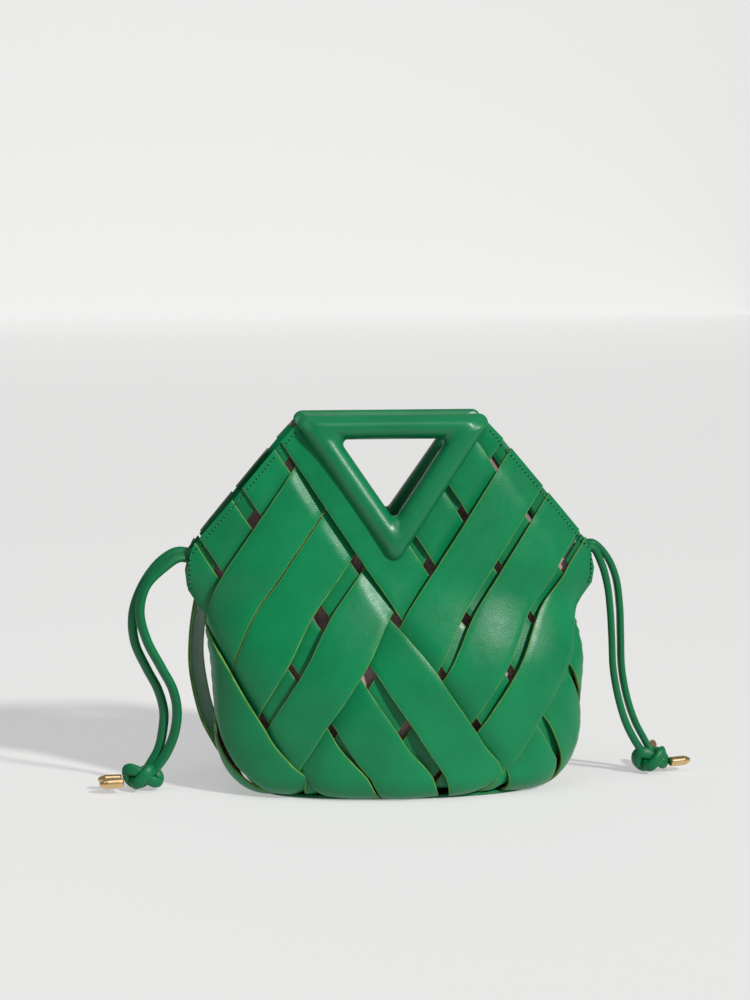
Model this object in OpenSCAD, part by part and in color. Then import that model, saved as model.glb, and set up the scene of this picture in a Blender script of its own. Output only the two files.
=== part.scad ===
// Hand-woven leather basket handbag.
//
// Twenty-four wide leather strips rise slantwise from a stiff base and weave through each other.
// Above the ears the weave splits into a front and a back panel. Each panel carries a triangular
// padded ring handle and swings outwards to open the mouth. A drawstring pouch stands inside.
//
// Frame: X to the right, Y to the back, Z up. The base stands on Z = 0 and the handles are
// centred on X = 0. All sizes are in millimetres.
//
// The weave is laid out flat, with s running round the body and h running up it. Rising strips
// follow lines of constant u = s*sin(a) - h*cos(a), falling strips of constant
// v = -s*sin(a) - h*cos(a), where a is the strips' angle from the horizontal.

/* [Body] */
// Quarter of the way round the body, measured along the weave
quarter_girth = 147; // [143:1:151]
// Half width of the body above the bend of its foot
body_half_width = 121.5; // [117:0.5:125]
// Half width at the ears
ear_half_width = 144; // [141:0.5:147]
// Half depth of the body at its foot
body_half_depth = 41; // [38:0.5:44]
// Sideways lean of the soft body's foot
lean = 6; // [0:0.5:8]

/* [Weave] */
// Width of a leather strip
strip_width = 34; // [31:0.5:35]
// Distance between neighbouring strips of one family, square to them
pitch = 40.7; // [40:0.1:41.5]
// Angle of the strips from the horizontal
strip_angle = 56; // [55:0.5:57]
// Thickness of the leather
leather = 1.8; // [1.4:0.1:1.9]
// Distance between the middles of an upper and a lower strip where they cross
layer_step = 3.6; // [3.5:0.1:4]

/* [Opening] */
// Height at which the front and back panels start to bend outwards
fold_height = 157; // [155:1:159]
// Free gap left across each strip at the fold
fold_gap = 1.6; // [1.4:0.2:3]

/* [Handle] */
// Height of the handles' top edge
handle_top = 267.5; // [266:0.5:270]
// Half width of a handle along its top edge, before its corners are rounded
handle_half_width = 71; // [69:0.5:72]
// Width of a handle's sloping limbs
limb_width = 18; // [16:0.5:19]
// Width of a handle's top bar
bar_width = 16.8; // [15:0.2:18]

/* [Cords and strap] */
// Diameter of the drawcords
cord_d = 6.4; // [5:0.2:6.8]
// Width of the shoulder strap
strap_width = 21; // [18:0.5:22]
// Thickness of each of the strap's two layers
strap_layer = 1.3; // [1:0.1:1.5]

/* [Hidden] */
FAMILIES = ["rising", "falling"];
HOME = 6;                       // strips of one family that start on each side of the body
function two_digits(k) = str(k < 10 ? "0" : "", k);
STRIP_NODES = [for (f = FAMILIES, k = [1 : 2*HOME]) str(f, "_strip_", two_digits(k))];

GREEN = [0.05, 0.50, 0.28];
DARK_GREEN = [0.04, 0.36, 0.20];
PINK_TAUPE = [0.62, 0.50, 0.48];
GREY_BROWN = [0.24, 0.23, 0.21];
GOLD = [0.80, 0.66, 0.42];
CREAM = [0.85, 0.82, 0.74];

sn = sin(strip_angle);
cs = cos(strip_angle);
half_strip = strip_width/2;
centre_0 = 31.5;                // slant coordinate of the last home strip, by the ear
gap_start = half_strip/pitch;   // share of the pitch at which a strip leaves its crossing
under_at = leather/2 + 0.1;     // middle of an under-going strip, out from the body surface

// ---------- numbers ----------

function clamp01(t) = min(max(t, 0), 1);
function smooth(t) = let(c = clamp01(t)) c*c*(3 - 2*c);
function mix(a, b, t) = a + (b - a)*t;
function is_odd(n) = n - 2*floor(n/2) == 1;
function unit(v) = v/norm(v);

// ---------- the body's surface ----------

base_level = 8.4;               // height of the body surface where it lies flat under the base
foot_front = [9, 9];            // radii of the foot's bend at the front: inwards, upwards
foot_side = [28, 41.6];         // the same at the sides
ear_slot = 7.5;                 // half of the gap between the panels at the ears

function half_width(z) = body_half_width + 4.5*smooth((z - 50)/60)
  + 2.5*exp(-pow((z - 134)/16, 2))
  + (ear_half_width - body_half_width - 4.5)*smooth((z - 128)/29);
function half_depth(z) = body_half_depth + 4*smooth((z - 15)/35)
  - 19*smooth((z - 75)/95) - 11*max(z - 165, 0)/99;
function edge_gap(z) = ear_slot*smooth((z - 136)/26);
function lens_share(z) = smooth((z - 85)/72);
function lens_power(z) = 2 + 1.4*smooth((z - 165)/90);
function lean_at(z) = lean*(1 - smooth((z - 88)/45));

// Height and inset of the foot's bend at height h of the weave, for radii r
function foot_turn(h, r) =
  let(length = 90*PI/180*sqrt((r.x*r.x + r.y*r.y)/2), top = base_level + r.y,
      turn = 90*clamp01((top - h)/length), past = max(top - length - h, 0))
  h > top ? [h, 0] : [top - r.y*sin(turn), r.x*(1 - cos(turn)) + past];

// Length of an oval's outline from its flat side to the angle turn, and the angle at a share t
// of its quarter, found by three corrections of a first guess
function arc_rate(turn, a, b) = norm([a*cos(turn), b*sin(turn)]);
function arc_length(turn, a, b) = turn/12*(a + 4*arc_rate(turn/4, a, b)
  + 2*arc_rate(turn/2, a, b) + 4*arc_rate(3*turn/4, a, b) + arc_rate(turn, a, b));
function oval_turn(goal, a, b, guess, tries) = tries == 0 ? guess
  : oval_turn(goal, a, b, guess - (arc_length(guess, a, b) - goal)/arc_rate(guess, a, b), tries - 1);

// Shape of one half section: [x, depth] for half sizes a and b at height z. It keeps the weave's
// true spacing over the middle, and takes up what is left near the sides.
function half_section(t, a, b, z) =
  let(way = sign(t), far = abs(t), share = lens_share(z), quarter = arc_length(90, a, b),
      pull = min(quarter_girth*180/PI/quarter, 1.12), arc = far*(pull - (pull - 1)*pow(far, 4)),
      turn = oval_turn(arc*quarter, a, b, 90*far*(0.75 + 0.25*far*far), 3),
      oval = [a*sin(turn), b*cos(turn)],
      lens = [far*mix(ear_half_width, a, pow(far, 4)),
              edge_gap(z) + (b - edge_gap(z))*(1 - pow(far, lens_power(z)))])
  [way*mix(oval.x, lens.x, share), mix(oval.y, lens.y, share)];

// Point of the body surface at s round and h up, with side = 1 in front and -1 behind
function skin(s, h, side) =
  let(turned = (s + quarter_girth)/(2*quarter_girth), lap = floor(turned),
      t = 2*(turned - lap) - 1, face = is_odd(lap) ? -side : side,
      front = foot_turn(h, foot_front), flank = foot_turn(h, foot_side),
      z = mix(front[0], flank[0], pow(sin(90*abs(t)), 2)),
      p = half_section(t, half_width(z) - flank[1], half_depth(z) - front[1], z))
  [face*p.x + lean_at(z), -face*p.y, z];

function skin_normal(s, h, side) =
  unit(cross(skin(s + 0.6, h, side) - skin(s - 0.6, h, side),
             skin(s, h + 0.6, side) - skin(s, h - 0.6, side)));

function off_skin(s, h, side, off) = skin(s, h, side) + off*skin_normal(s, h, side);

// ---------- the weave ----------
// A strip lies at the slant coordinate p of its own family and runs along w, the other one's.
// fam is 1 for rising and -1 for falling strips. Both families share one numbering from 1 to 6.

function slant_s(p, w, fam) = fam*(p - w)/(2*sn);
function slant_h(p, w) = -(p + w)/(2*cs);
function strip_centre(n) = centre_0 - pitch*(HOME - n);
function line_of_height(p, h) = -p - 2*cs*h;

// 1 where strip n of a family runs over strip k of the other, and -1 where it runs under
function lies_over(n, k, fam) =
  k <= 0 ? 1 : (is_odd(floor((n - 1)/3) + floor((k - 1)/3)) ? 1 : -1)*fam;

function weave(n, w, fam) =
  let(at = HOME + (w - centre_0)/pitch, k = floor(at),
      rise = smooth((at - k - gap_start)/(1 - 2*gap_start)))
  mix(lies_over(n, k, fam), lies_over(n, k + 1, fam), rise);

function strip_offset(n, w, fam) = under_at + layer_step*(1 + weave(n, w, fam))/2;

// ---------- ends of the strips ----------

ear_s = 146;                    // where the strips' ends meet the ear's edge
rim_high = [-87.3, -203.4];     // slant coordinates of the rim at the handle's corner
rim_low = [18, -215.8];         // the same at the ear's top
ear_low = [35.5, -206.5];       // the same at the ear's lower corner
handle_edge = -90;              // slant coordinate of the handle's outer edge
handle_trim = -92.6;            // the strips end or are trimmed here, inside the handle
foot_end = -9;                  // height of the strips' turned-in ends along the weave

function along(a, b, p) = a[1] + (b[1] - a[1])*(p - a[0])/(b[0] - a[0]);
function rim_line(p) = max(along(rim_high, rim_low, p), along(rim_low, ear_low, p),
                           p - 2*sn*ear_s);
function top_line(n, p) = n <= 2 ? handle_trim : rim_line(p);
function bottom_line(p) = line_of_height(p, foot_end);

// Strip 3 passes beside the handle and loses its inner edge there
function column(n, c, columns, w) =
  let(inner = strip_centre(n) - half_strip, outer = strip_centre(n) + half_strip,
      trim = n == 3 ? mix(inner, handle_trim, clamp01((handle_edge + 9 - w)/9)) : inner)
  mix(trim, outer, c/columns);

// Stations along a strip between its end lines, kept on the crossings. A crossing on the bend
// of the foot has five stations, so that both families share one grid of points there.
function crossing_parts(p, k) =
  slant_h(p, strip_centre(k)) < foot_side.y ? [1, 0.5, 0, -0.5, -1] : [1, 0, -1];
function levels(p, first, last) =
  [for (k = [12 : -1 : -2], part = crossing_parts(p, k))
    let(w = strip_centre(k) + half_strip*part) if (w < first - 2 && w > last + 2) w];

function stations(p, low, high, zone) =
  let(first = min(low), last = max(high), mid = levels(p, first, last))
  len(mid) == 0 ? [for (q = [0 : zone + 1]) [for (c = [0 : len(low) - 1])
      mix(low[c], high[c], q/(zone + 1))]]
  : concat([for (q = [0 : zone - 1]) [for (c = low) mix(c, mid[0], q/zone)]],
           [for (m = mid) [for (c = low) m]],
           [for (q = [1 : zone]) [for (c = high) mix(mid[len(mid) - 1], c, q/zone)]]);

function strip_ring(n, row, fam, side) =
  let(last = len(row) - 1,
      spots = [for (c = [0 : last]) let(p = column(n, c, last, row[c]))
        [slant_s(p, row[c], fam), slant_h(p, row[c]), strip_offset(n, row[c], fam)]])
  concat([for (c = [0 : last]) let(q = spots[c]) off_skin(q[0], q[1], side, q[2] + leather/2)],
         [for (c = [last : -1 : 0]) let(q = spots[c]) off_skin(q[0], q[1], side, q[2] - leather/2)]);

// ---------- solids swept through rings of points ----------

function wall_faces(n, m, closed) =
  [for (k = [0 : (closed ? m - 1 : m - 2)], j = [0 : n - 1])
    let(a = k*n + j, b = k*n + (j + 1) % n, up = ((k + 1) % m)*n - k*n)
    each [[a, b, b + up], [a, b + up, a + up]]];

// The same for a flat band, whose ring runs out along one face and back along the other. Both
// faces split their patches the same way, so that bands on one grid keep apart over a bend.
function band_walls(n, m) =
  [for (k = [0 : m - 2], j = [0 : n - 1])
    let(a = k*n + j, b = k*n + (j + 1) % n)
    each (j < n/2 ? [[a, b, b + n], [a, b + n, a + n]] : [[a, b, a + n], [b, b + n, a + n]])];

// End faces of a flat band
function band_cap(n, first) =
  [for (j = [0 : n/2 - 2]) let(a = first + j, b = a + 1, c = first + n - 2 - j, d = c + 1)
    each [[a, c, b], [a, d, c]]];

function turned(faces) = [for (f = faces) [for (k = [len(f) - 1 : -1 : 0]) f[k]]];

module band_solid(rings, flip) {
  n = len(rings[0]);
  m = len(rings);
  faces = concat(band_walls(n, m), band_cap(n, 0), turned(band_cap(n, (m - 1)*n)));
  polyhedron(points = [for (r = rings) each r], faces = flip ? turned(faces) : faces);
}

module round_solid(rings, flip = false) {
  n = len(rings[0]);
  m = len(rings);
  faces = concat(wall_faces(n, m, false), [[for (j = [n - 1 : -1 : 0]) j]],
                 [[for (j = [0 : n - 1]) (m - 1)*n + j]]);
  polyhedron(points = [for (r = rings) each r], faces = flip ? turned(faces) : faces);
}

module loop_solid(rings, flip = false) {
  faces = wall_faces(len(rings[0]), len(rings), true);
  polyhedron(points = [for (r = rings) each r], faces = flip ? turned(faces) : faces);
}

// ---------- strips ----------

COLUMNS = 4;                    // steps across a strip
END_ZONE = 5;                   // stations between a slanting end and the first crossing
fold_cut = fold_gap/2;

function ends_at(n, lines) = [for (c = [0 : COLUMNS])
  let(p = mix(strip_centre(n) - half_strip, strip_centre(n) + half_strip, c/COLUMNS)) lines(p)];

// The lower part of strip n, from its turned-in end up to the fold. The strips by the ears
// are whole, because the ears stay still when the panels swing.
module lower_strip(n, fam, side) {
  low = ends_at(n, function(p) bottom_line(p));
  high = n == HOME ? ends_at(n, function(p) top_line(n, p))
    : ends_at(n, function(p) line_of_height(p, fold_height - fold_cut));
  rings = [for (row = stations(strip_centre(n), low, high, END_ZONE))
    strip_ring(n, row, fam, side)];
  band_solid(rings, fam > 0);
}

module upper_strip(n, fam, side) {
  low = ends_at(n, function(p) line_of_height(p, fold_height + fold_cut));
  high = ends_at(n, function(p) top_line(n, p));
  rings = [for (row = stations(strip_centre(n), low, high, END_ZONE - 1))
    strip_ring(n, row, fam, side)];
  band_solid(rings, fam > 0);
}

module numbered_strip(name) {
  place = [for (k = [0 : len(STRIP_NODES) - 1]) if (STRIP_NODES[k] == name) k][0];
  fam = place < 2*HOME ? 1 : -1;
  k = place % (2*HOME);
  color(GREEN) lower_strip(k % HOME + 1, fam, k < HOME ? 1 : -1);
}

module upper_strips(fam, side) {
  color(GREEN) for (n = [1 : HOME - 1]) upper_strip(n, fam, side);
}

// ---------- bands under the rim ----------

band_inner = -194.5;            // inner edge of the rim bands, as a slant coordinate
band_split = 11;                // the bands are cut here, between the panel and the ear

function rim_band_ring(w, fam, side) =
  let(edge = along([rim_high[0], rim_high[1]], [rim_low[0], rim_low[1]], w) + 0.4,
      spots = [for (c = [0 : 2]) let(p = mix(edge, band_inner, c/2))
        [slant_s(p, w, fam), slant_h(p, w)]])
  concat([for (q = spots) off_skin(q[0], q[1], side, under_at + leather/2)],
         [for (k = [2 : -1 : 0]) off_skin(spots[k][0], spots[k][1], side, under_at - leather/2)]);

module rim_band(from, to, steps, fam, side) {
  band_solid([for (k = [0 : steps]) rim_band_ring(mix(from, to, k/steps), fam, side)], fam < 0);
}

module rim_bands(side) {
  color(DARK_GREEN) for (fam = [-1, 1]) rim_band(-86, band_split - 0.8, 8, fam, side);
}

module ear_bands() {
  color(DARK_GREEN) for (fam = [-1, 1], side = [-1, 1])
    rim_band(band_split + 0.8, 24, 2, fam, side);
}

// ---------- handles ----------

handle_low = 168;               // height of the handles' tip
handle_out = under_at + layer_step/2;   // middle of the strips' two layers
handle_top_y = half_depth(handle_top) + handle_out;
handle_tilt = atan((half_depth(handle_low) + handle_out - handle_top_y)
                   /(handle_top - handle_low));
CORNER_STEPS = 4;
side_lean = cs/sn;              // sideways run of a limb for each millimetre down

// Rounded triangle at the distance d inside the handle's outer edge, in the handle's plane,
// with z measured down from the top edge
function handle_loop(d) =
  let(top = -d*bar_width/limb_width,
      half = handle_half_width + top*side_lean - d/sn,
      apex = -(handle_half_width - d/sn)/side_lean,
      r = mix(6, 3.5, d/limb_width), narrow = strip_angle/2, tip = 90 - strip_angle)
  concat(handle_corner([half, top], narrow, r, narrow),
         handle_corner([-half, top], narrow, r, 180 - narrow),
         handle_corner([0, apex], tip, r, 270));

// Arc that rounds a corner whose half angle is given, where out is the way it points
function handle_corner(at, half_angle, r, out) =
  let(centre = at - r/sin(half_angle)*[cos(out), sin(out)], reach = 90 - half_angle)
  [for (k = [0 : CORNER_STEPS]) let(turn = out - reach + 2*reach*k/CORNER_STEPS)
    centre + r*[cos(turn), sin(turn)]];

// Section points are [distance in from the outer edge, distance out from the middle plane]
FACE_SECTION = [[0, 3.2], [0, 4.2], [2.2, 4.6], [3.6, 8], [6, 11], [9.5, 12], [13, 11.2],
  [16, 8.6], [17.6, 5.4], [18, 2], [18, -0.4], [16.9, -0.4], [16.7, 3], [15.2, 7.4],
  [12.4, 9.9], [9.5, 10.7], [6.8, 9.7], [4.8, 7], [3.6, 3.2]];
LINING_SECTION = [[0, -4.4], [3.6, -4.4], [4.8, -6.2], [7, -7.6], [9.5, -8], [12.4, -7.5],
  [15.4, -5.6], [16.8, -3], [16.9, -0.8], [18, -0.8], [18, -3.2], [16.4, -6.8], [13, -8.8],
  [9.5, -9.3], [6, -8.8], [3.4, -7], [2.4, -5.4], [0, -5.4]];
CORE_SECTION = [[5, -4], [5, 5], [7, 8.6], [9.5, 9.6], [12, 8.8], [15, 6], [15.6, 2],
  [15.6, -3.4], [13, -6.2], [9.5, -6.9], [7, -6.2]];

module handle_sweep(section, side) {
  loops = [for (q = section) handle_loop(q[0])];
  count = 3*(CORNER_STEPS + 1);
  rotate([0, 0, side > 0 ? 0 : 180])
    translate([0, -handle_top_y, handle_top])
      rotate([-handle_tilt, 0, 0])
        loop_solid([for (i = [0 : count - 1]) [for (j = [0 : len(section) - 1])
          [loops[j][i].x, -section[j].y, loops[j][i].y]]], true);
}

module handle_face(side) { color(GREEN) handle_sweep(FACE_SECTION, side); }
module handle_lining(side) { color(GREEN) handle_sweep(LINING_SECTION, side); }
module handle_core(side) { color(CREAM) handle_sweep(CORE_SECTION, side); }

// ---------- base and pouch ----------

function section_at(z, cut_x, cut_y, count) =
  let(front = foot_front, flank = foot_side,
      fz = clamp01((base_level + front.y - z)/front.y),
      kz = clamp01((base_level + flank.y - z)/flank.y),
      a = half_width(z) - flank.x*(1 - sqrt(1 - kz*kz)) - cut_x,
      b = half_depth(z) - front.x*(1 - sqrt(1 - fz*fz)) - cut_y)
  [for (k = [0 : 2*count - 1]) let(face = k < count ? 1 : -1,
      t = 2*(k % count)/count - 1 + (k % count == 0 ? 0.001 : 0),
      p = half_section(t, a, b, z))
    [face*p.x + lean_at(z), -face*p.y]];

panel_t = 2.6;
board_level = 8.8;
board_t = 2;
board_cut = [11, 7];            // distance of the board inside the body surface: side, front
SECTION_STEPS = 14;

module base_panel() {
  color(DARK_GREEN) linear_extrude(panel_t) polygon(section_at(base_level, -2, -4, 24));
}

module base_board() {
  color(GREY_BROWN) translate([0, 0, board_level])
    linear_extrude(board_t) polygon(section_at(base_level + 1, board_cut.x, board_cut.y, 24));
}

POUCH_LEVELS = [11.2, 14, 19, 27, 38, 54, 75, 100, 125, 145, 149, 152, 157, 162, 167, 171, 174];
pouch_cut = [7, 4];             // distance of the pouch inside the body surface: side, front
pouch_wall = 1.6;

// The pouch draws in over the bend of the foot and under the handles
function pouch_draw(z) = 4.5*(1 - smooth((z - 9)/20)) + 2*smooth((z - 148)/12);

function level_ring(z, cut_x, cut_y) = let(more = pouch_draw(z))
  [for (p = section_at(z, cut_x + more, cut_y + more, SECTION_STEPS)) [p.x, p.y, z]];

module pouch() {
  last = len(POUCH_LEVELS) - 1;
  inside = pouch_cut + [pouch_wall, pouch_wall];
  outer = [for (z = POUCH_LEVELS) level_ring(z, pouch_cut.x, pouch_cut.y)];
  inner = [for (k = [last : -1 : 1]) level_ring(POUCH_LEVELS[k], inside.x, inside.y)];
  floor_ring = level_ring(POUCH_LEVELS[0] + pouch_wall, inside.x + 1, inside.y + 1);
  color(PINK_TAUPE) round_solid(concat(outer, inner, [floor_ring]));
}

// A closed hoop of cloth or cord inside the pouch's wall, between two of the pouch's levels
module hoop(low, high, cut, thick) {
  outside = pouch_cut + [pouch_wall + cut, pouch_wall + cut];
  inside = outside + [thick, thick];
  levels = [for (z = POUCH_LEVELS) if (z >= low && z <= high) z];
  loop_solid(concat([for (z = levels) level_ring(z, outside.x, outside.y)],
    [for (k = [len(levels) - 1 : -1 : 0]) level_ring(levels[k], inside.x, inside.y)]));
}

module pouch_casing() { color(PINK_TAUPE) hoop(149, 171, 3, 1); }
module left_drawcord_run() { color(GREEN) hoop(152, 157, 0.7, 1.5); }
module right_drawcord_run() { color(GREEN) hoop(162, 167, 0.7, 1.5); }

// ---------- cords ----------
// Routes run from the ear to the knot. Each is a list of points laid by hand.

LEFT_FRONT = [[-139, -3.8, 167], [-148, -5, 168], [-158, -7, 162], [-171, -8, 149],
  [-175.5, -8, 131], [-171, -7, 111], [-161, -5, 91], [-153, -3, 75], [-150, 0, 59],
  [-152, 3, 42], [-158, 6, 27], [-165, 8, 17]];
LEFT_BACK = [[-139, 3.8, 170], [-149, 4, 171], [-161, 3, 164], [-173, 2, 148],
  [-180, 2, 128], [-179, 3, 108], [-171, 5, 89], [-163, 7, 73], [-159, 9, 57],
  [-160, 11, 42], [-163, 12, 29], [-168, 12, 20]];
RIGHT_FRONT = [[137, -3.8, 172], [143.5, -3, 171], [151, 1, 158], [156, 5, 142],
  [159, 9, 123], [161, 13, 103], [163, 17, 80], [168, 21, 57], [175, 25, 37],
  [184, 28, 21]];
RIGHT_BACK = [[137, 3.8, 172], [145, 5, 173], [155, 9, 164], [163, 13, 148],
  [167, 17, 127], [169, 22, 104], [171, 27, 79], [176, 31, 56], [183, 34, 37],
  [190, 35, 24]];

// Rings of a round cord of diameter d along a route
function tube_ring(at, way, d, sides) =
  let(across = unit(cross(way, abs(way.y) > 0.9 ? [1, 0, 0] : [0, 1, 0])), up = cross(way, across))
  [for (k = [0 : sides - 1]) at + d/2*(cos(360*k/sides)*across + sin(360*k/sides)*up)];

function route_way(route, k) =
  unit(route[min(k + 1, len(route) - 1)] - route[max(k - 1, 0)]);

module tube(route, d, sides = 10) {
  round_solid([for (k = [0 : len(route) - 1])
    tube_ring(route[k], route_way(route, k), d, sides)]);
}

// The outer shape of a fat overhand knot pulled tight
module knot(at, yaw) {
  color(GREEN) translate(at) rotate([0, 0, yaw]) hull() {
    for (k = [-1, 1]) translate([5.5*k, 2*k, 0]) sphere(d = 17, $fn = 16);
    translate([0, 0, 1.4]) sphere(d = 18, $fn = 16);
  }
}

TIP_LENGTH = 17;
tip_r = 3.5;

// A bullet-shaped metal end cap, with its cord's stub inside, pointing along +X
module tip(at, yaw, pitch_angle) {
  color(GOLD) translate(at) rotate([0, pitch_angle, yaw]) rotate([0, 90, 0])
    rotate_extrude($fn = 32) polygon([[0, 0], [tip_r - 0.6, 0], [tip_r, 0.6],
      [tip_r, TIP_LENGTH - 6], [tip_r - 0.7, TIP_LENGTH - 3], [tip_r - 1.9, TIP_LENGTH - 0.8],
      [0, TIP_LENGTH]]);
}

// ---------- shoulder strap ----------
// The strap leaves the left ear, drops behind the body, lies folded on its edge and rises to
// the right ear. Points are [x, y, z] of its middle, and its width stays close to upright.

STRAP_ROUTE = [[-128, 22, 150], [-131.5, 29, 132], [-134, 37, 111], [-134.5, 45, 88],
  [-131, 53, 64], [-125, 60, 42], [-115, 67, 24], [-102, 72, 13], [-80, 75, 11.2],
  [-40, 76, 11], [0, 76, 11], [40, 76, 11], [70, 77, 11], [88, 82, 11], [96, 94, 11],
  [88, 106, 11], [70, 111, 11], [40, 112, 11], [0, 112, 11], [-40, 112, 11],
  [-58, 117, 11], [-66, 129, 11], [-58, 141, 11], [-40, 146, 11], [0, 146, 11],
  [40, 144, 11], [76, 136, 11], [102, 120, 12], [116, 100, 18], [121, 82, 34],
  [120, 68, 56], [119, 59, 82], [119, 52, 108], [121, 42, 132], [124, 30, 150]];

// The strap's width direction: upright where it lies, and square to its run where it hangs
function strap_side(way) =
  let(level = abs(way.z) > 0.55 ? [0.35, 0.94, 0] : [0, 0, 1])
  unit(level - (level*way)*way);

function strap_ring(k, near, far) =
  let(way = route_way(STRAP_ROUTE, k), blend = [for (q = [-1 : 1])
        strap_side(route_way(STRAP_ROUTE, min(max(k + q, 0), len(STRAP_ROUTE) - 1)))],
      wide = unit((blend[0] + blend[1] + blend[2]) - ((blend[0] + blend[1] + blend[2])*way)*way),
      flat = cross(way, wide), at = STRAP_ROUTE[k], half = strap_width/2)
  [at + half*wide + near*flat, at + half*wide + far*flat,
   at - half*wide + far*flat, at - half*wide + near*flat];

module strap_layer_solid(near, far) {
  band_solid([for (k = [0 : len(STRAP_ROUTE) - 1]) strap_ring(k, near, far)], false);
}

module strap_outer() { color(GREEN) strap_layer_solid(0.05, strap_layer); }
module strap_backing() { color(GREY_BROWN) strap_layer_solid(-strap_layer, -0.05); }

// ---------- the nodes ----------

for (name = STRIP_NODES) numbered_strip(name);
upper_strips(1, 1);  // front_upper_rising
upper_strips(-1, 1);  // front_upper_falling
upper_strips(1, -1);  // back_upper_rising
upper_strips(-1, -1);  // back_upper_falling
rim_bands(1);  // front_rim_bands
rim_bands(-1);  // back_rim_bands
ear_bands();
handle_face(1);  // front_handle_face
handle_lining(1);  // front_handle_lining
handle_core(1);  // front_handle_core
handle_face(-1);  // back_handle_face
handle_lining(-1);  // back_handle_lining
handle_core(-1);  // back_handle_core
base_panel();
base_board();
pouch();
pouch_casing();
left_drawcord_run();
right_drawcord_run();
color(GREEN) tube(LEFT_FRONT, cord_d);  // left_cord_front
color(GREEN) tube(LEFT_BACK, cord_d);  // left_cord_back
color(GREEN) tube(RIGHT_FRONT, cord_d);  // right_cord_front
color(GREEN) tube(RIGHT_BACK, cord_d);  // right_cord_back
knot([-174, 9, 8.8], 0);  // left_knot
knot([195, 31, 8.8], 20);  // right_knot
tip([-188, 2, 8], 186, 2);  // left_tip_front
tip([-189, 12, 8.5], 174, 2);  // left_tip_back
tip([208.3, 30.8, 8], 20, 0);  // right_tip_front
tip([197, 44, 12], 75, -20);  // right_tip_back
strap_outer();
strap_backing();
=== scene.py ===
"""A hand-woven leather basket handbag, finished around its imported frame.

The sizes of the weave are in millimetres, as a maker cuts the leather, and a mesh is brought to
metres when it is made. The routes of the cords and the strap are in metres.
"""

import logging
import math
from collections.abc import Sequence
from dataclasses import dataclass, field
from enum import Enum

import bmesh
import bpy
import numpy as np
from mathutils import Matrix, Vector


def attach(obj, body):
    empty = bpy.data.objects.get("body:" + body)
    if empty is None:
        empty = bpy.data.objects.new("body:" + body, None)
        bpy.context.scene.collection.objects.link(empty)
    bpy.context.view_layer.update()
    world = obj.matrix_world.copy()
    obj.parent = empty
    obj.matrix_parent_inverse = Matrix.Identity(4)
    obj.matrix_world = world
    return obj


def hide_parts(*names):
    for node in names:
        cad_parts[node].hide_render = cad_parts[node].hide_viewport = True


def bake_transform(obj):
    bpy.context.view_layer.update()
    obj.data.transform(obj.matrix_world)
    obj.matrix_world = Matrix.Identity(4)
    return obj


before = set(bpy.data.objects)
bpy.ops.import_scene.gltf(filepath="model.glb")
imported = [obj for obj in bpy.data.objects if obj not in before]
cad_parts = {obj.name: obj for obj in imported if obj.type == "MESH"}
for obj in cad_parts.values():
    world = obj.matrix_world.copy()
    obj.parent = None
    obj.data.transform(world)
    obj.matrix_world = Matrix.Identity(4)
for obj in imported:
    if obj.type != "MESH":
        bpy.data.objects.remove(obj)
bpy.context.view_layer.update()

MM = 0.001
LOG = logging.getLogger("handbag")
Array = np.ndarray


class Family(Enum):
    """The two families of strips. The value is the side towards which a strip climbs."""

    RISING = 1
    FALLING = -1


class Side(Enum):
    """Front and back of the bag. The value is the sign that the surface functions take."""

    FRONT = 1
    BACK = -1

    @property
    def panel(self) -> str:
        """Name of the body that swings on this side.

        Returns:
            The name.
        """
        return f"{self.name.lower()}_panel"


# ---------- small numeric helpers ----------


def smooth(t: Array | float) -> Array | float:
    """Eases from 0 to 1 as t goes from 0 to 1.

    Args:
        t: Place between the two ends. Past them it is held.

    Returns:
        The eased value.
    """
    c = np.clip(t, 0.0, 1.0)
    return c * c * (3.0 - 2.0 * c)


def mix(a: Array | float, b: Array | float, t: Array | float) -> Array | float:
    """Goes from a to b as t goes from 0 to 1.

    Args:
        a: Value at 0.
        b: Value at 1.
        t: Place between them.

    Returns:
        The value at t.
    """
    return a + (b - a) * t


def unit(v: Array) -> Array:
    """Scales vectors, held along the last axis, to length 1.

    Args:
        v: The vectors.

    Returns:
        The vectors at length 1.
    """
    return v / np.maximum(np.linalg.norm(v, axis=-1, keepdims=True), 1e-12)


def ripple(x: Array, y: Array, seed: float) -> Array:
    """Slow, even variation between about -1 and 1.

    Args:
        x: First coordinate, a few units for each wave.
        y: Second coordinate.
        seed: Shifts the pattern, so that two pieces differ.

    Returns:
        One value for each pair of coordinates.
    """
    return (np.sin(1.7 * x + 2.3 * seed + 0.9 * np.sin(0.8 * y + seed))
            + np.sin(2.9 * y + 1.3 * seed + 1.1 * np.sin(1.3 * x + 3.1 * seed))) / 2


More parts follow.
